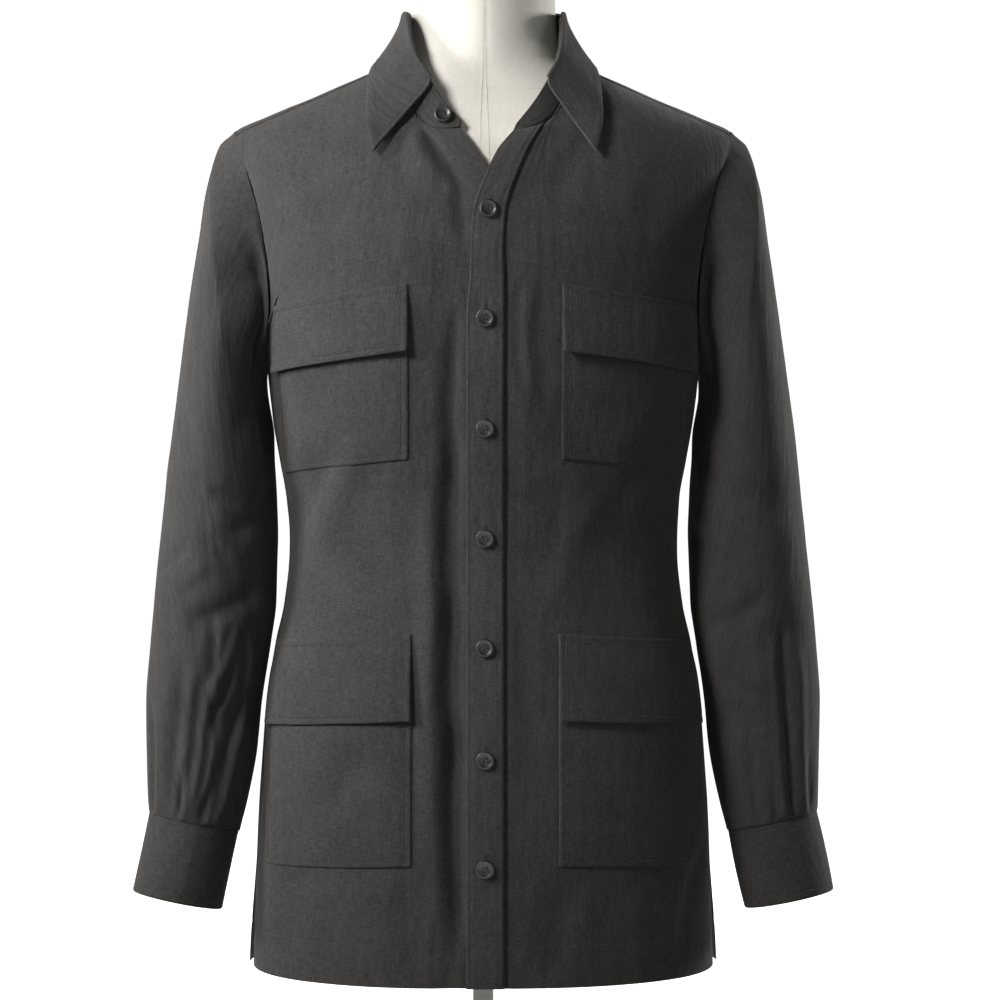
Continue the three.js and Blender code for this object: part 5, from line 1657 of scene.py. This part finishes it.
class OVERSHIRT_OT_form(bpy.types.Operator):
    """The limbless dress form and its stand"""

    bl_idname = "overshirt.form"
    bl_label = "Dress form and stand"

    def execute(self, context):
        low, high = FORM_BOTTOM_Z, FORM_TOP_Z
        heights = np.r_[low, np.linspace(low + 4, 845, 90), np.linspace(850, high - 4, 50), high]
        turns = np.arange(FORM_SIDES) * 360 / FORM_SIDES
        piece = self.closed_form(self.form_points(turns, heights))
        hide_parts("dress_form")
        seam_heights = np.linspace(low + 10, high - 3, 300)
        lines = []
        for turn in (0, 180):
            line = self.form_points(np.array([turn - 0.9, turn, turn + 0.9]), seam_heights)
            lines += [line[:, 0] + (0, -0.1, 0), line[:, 2] + (0, -0.1, 0)]
        turns = np.linspace(-180, 180, 240)
        ring = np.array([self.form_points([t], [neck_seam(t)])[0, 0] for t in turns])
        lines.append(ring + unit(ring * (1, 1, 0)) * 0.15)
        stitched("form_seam_thread", lines, "form thread", radius=0.3 * MM)
        self.stand()
        return {"FINISHED"}

    def form_points(self, turns, heights):
        """Points of the form's cover, which lies inside the shirt's skin by the cloth's ease."""
        turn, z = np.meshgrid(turns, heights)
        p = turned(turn, z)
        normal = unit(slope_of(p))
        share = np.minimum(1, 2 * np.abs(np.cos(np.radians(turn))))
        side = at(EASE, "side", z)
        ease = side + (at(EASE, "facing", z) - side) * share
        q = p - normal * (FORM_INSET + ease)[..., None]
        low = (z < FORM_BOTTOM_Z + 1) | (z >= 935)
        q[..., 2] = np.where(low, z, q[..., 2])
        from_end = np.minimum(z - FORM_BOTTOM_Z, FORM_TOP_Z - z)
        draw = 1 - 0.06 * (1 - np.sqrt(1 - (1 - np.clip(from_end / FORM_ROUNDING, 0, 1)) ** 2))
        q[..., :2] *= draw[..., None]
        seam = 0.35 * bell((turn + 180) % 360 - 180, 0.7) + 0.4 * bell(z - neck_seam(turn), 1.6)
        return q - normal * seam[..., None]

    def closed_form(self, points):
        """One mesh of the cover, closed at the top and the bottom."""
        rows, sides = points.shape[:2]
        index = np.arange(rows * sides).reshape(rows, sides)
        nxt = np.roll(index, -1, axis=1)
        faces = np.stack([index[:-1], nxt[:-1], nxt[1:], index[1:]], -1).reshape(-1, 4).tolist()
        vertices = points.reshape(-1, 3).tolist()
        for ring, height, turn in ((index[0], FORM_BOTTOM_Z, -1), (index[-1], FORM_TOP_Z, 1)):
            middle = len(vertices)
            vertices.append((0, 0, height))
            follow = np.roll(ring, -1)
            for a, b in zip(ring, follow):
                faces.append([int(a), int(b), middle] if turn > 0 else [int(b), int(a), middle])
        vertices = np.array(vertices)
        angle = np.degrees(np.arctan2(vertices[:, 0], -vertices[:, 1])) * 1.9
        uv = np.stack([angle, vertices[:, 2]], -1)
        return finish_mesh("form_cover", vertices, faces, finish("form linen"), uv, sharp=60)

    def stand(self):
        """The pole with its collars, and the round base."""
        foot = BASE_THICKNESS + SEAM_GAP
        top = FORM_BOTTOM_Z - SEAM_GAP
        pole = [(0, foot), (18.4, foot), (19, foot + 0.8), (19, foot + 5), (17, foot + 8), (12, foot + 13)]
        pole += [(POLE_RADIUS, foot + 18), (POLE_RADIUS, top - 12), (12, top - 9), (20, top - 4)]
        pole += [(23, top - 2), (23, top), (0, top)]
        base = [(0, 0), (164, 0), (167, 1), (BASE_RADIUS, 3), (BASE_RADIUS, 8), (166.5, 10.8), (162, 13)]
        base += [(120, 14.6), (60, BASE_THICKNESS), (0, BASE_THICKNESS)]
        for name, node, outline in (("pole", "stand_pole", pole), ("base", "stand_base", base)):
            vertices, faces = turned_solid(outline, 96)
            piece = finish_mesh(name + "_coated", vertices, faces, finish("stand"), sharp=40)
            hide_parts(node)


class OVERSHIRT_OT_stage(bpy.types.Operator):
    """Pale floor and backdrop, studio lights and the camera"""

    bl_idname = "overshirt.stage"
    bl_label = "Stage"

    def execute(self, context):
        settings = context.scene.overshirt_stage
        scene = context.scene
        scene.view_settings.view_transform = "Standard"
        self.floor()
        self.backdrop()
        world = bpy.data.worlds.new("Studio")
        world.use_nodes = True
        sky = world.node_tree.nodes["Background"]
        sky.inputs["Color"].default_value = linear("#FFFFFF")
        sky.inputs["Strength"].default_value = 0.02
        scene.world = world
        lights = (  # name, place, target, width in metres, spread in degrees, power
            ("Key", (-1.25, -1.05, 1.75), (-0.12, -0.1, 0.84), 0.55, 80, settings.key_power),
            ("Side", (-2.0, -0.45, 1.1), (-0.12, -0.1, 0.72), 0.5, 90, settings.side_power),
            ("Fill", (1.9, -1.9, 1.2), (0, 0, 0.6), 1.6, 180, settings.fill_power),
            ("Front", (0, -3.0, 1.1), (0, 0, 0.7), 1.6, 120, settings.front_power),
            ("Back left", (2.3, 1.15, 1.35), (0.05, 0.1, 0.62), 0.7, 100, settings.back_power),
            ("Back right", (-1.2, 2.4, 1.0), (0, 0.1, 0.6), 1.4, 120, 0.2 * settings.back_power),
        )
        for light in lights:
            self.light(*light)
        data = bpy.data.cameras.new("Camera")
        data.sensor_width = 36
        data.lens = 36 * settings.distance / settings.seen_width
        data.shift_x, data.shift_y = settings.shift
        data.clip_end = 50
        camera = linked("Camera", data)
        turn, distance = settings.turn, settings.distance
        camera.location = (-distance * math.sin(turn), -distance * math.cos(turn), settings.height)
        camera.rotation_euler = (math.pi / 2, 0, -turn)
        scene.camera = camera
        return {"FINISHED"}

    def light(self, name, place, target, size, spread_angle, power):
        data = bpy.data.lights.new(name, "AREA")
        data.shape = "DISK"
        data.size = size
        data.spread = math.radians(spread_angle)
        data.energy = power
        lamp = linked(name, data)
        lamp.location = place
        away = Vector(target) - Vector(place)
        lamp.rotation_euler = away.to_track_quat("-Z", "Y").to_euler()

    def backdrop(self):
        """A white dome lit from within, as a studio cyclorama is, which adds no light to the shirt."""
        arc = np.radians(np.linspace(-4, 90, 24))
        outline = [(DOME_RADIUS * math.cos(a), DOME_RADIUS * math.sin(a)) for a in arc[:-1]]
        dome = loose_object("backdrop", *turned_solid([*outline, (0, DOME_RADIUS)], 64))
        material, tree, surface = new_material("Lit white cyclorama")
        place = add_node(tree, "ShaderNodeTexCoord").outputs["Object"]
        glowing(tree, surface, remap(tree, noise(tree, place, 0.4, 1.0), 0.0, 1.0, 1.0, 1.02))
        surface.inputs["Base Color"].default_value = linear("#FFFFFF")
        dome.data.materials.append(material)
        for kind in ("visible_diffuse", "visible_glossy", "visible_transmission", "visible_shadow"):
            setattr(dome, kind, False)
        return dome

    def floor(self):
        """A round pale floor that glows a little, so that only the softest shadow shows on it."""
        outline = [(0, -10), (FLOOR_RADIUS, -10), (FLOOR_RADIUS, -0.2), (0, -0.2)]
        floor = loose_object("floor", *turned_solid(outline, 64))
        material, tree, surface = new_material("Matt painted studio floor")
        place = add_node(tree, "ShaderNodeTexCoord").outputs["Object"]
        paint = blend(tree, noise(tree, place, 3.0, 3.0), linear("#F4F4F3"), linear("#FBFBFA"))
        tree.links.new(paint, surface.inputs["Base Color"])
        surface.inputs["Roughness"].default_value = 0.9
        away = add_node(tree, "ShaderNodeVectorMath", {"operation": "LENGTH"}, in0=place).outputs["Value"]
        glowing(tree, surface, remap(tree, away, 0.2, 0.7, 0.8, 1.02))
        floor.data.materials.append(material)
        floor.visible_diffuse = False
        return floor


class OVERSHIRT_PT_panel(bpy.types.Panel):
    """Lists the shirt's pieces"""

    bl_label = "Overshirt"
    bl_space_type = "VIEW_3D"
    bl_region_type = "UI"
    bl_category = "Overshirt"

    def draw(self, context):
        for name in OvershirtSettings.__annotations__:
            self.layout.prop(context.scene.overshirt, name)
        for name in StageSettings.__annotations__:
            self.layout.prop(context.scene.overshirt_stage, name)
        for operator in OPERATORS:
            self.layout.operator(operator.bl_idname)


OPERATORS = (
    OVERSHIRT_OT_body,
    OVERSHIRT_OT_pockets,
    OVERSHIRT_OT_sleeves,
    OVERSHIRT_OT_collar,
    OVERSHIRT_OT_buttons,
    OVERSHIRT_OT_stitching,
    OVERSHIRT_OT_form,
    OVERSHIRT_OT_stage,
)
CLASSES = (OvershirtSettings, StageSettings, *OPERATORS, OVERSHIRT_PT_panel)


def register():
    for cls in CLASSES:
        bpy.utils.register_class(cls)
    bpy.types.Scene.overshirt = PointerProperty(type=OvershirtSettings)
    bpy.types.Scene.overshirt_stage = PointerProperty(type=StageSettings)


def unregister():
    del bpy.types.Scene.overshirt_stage
    del bpy.types.Scene.overshirt
    for cls in reversed(CLASSES):
        bpy.utils.unregister_class(cls)


def main():
    register()
    for operator in OPERATORS:
        group, name = operator.bl_idname.split(".")
        getattr(getattr(bpy.ops, group), name)()


if __name__ == "__main__":
    main()
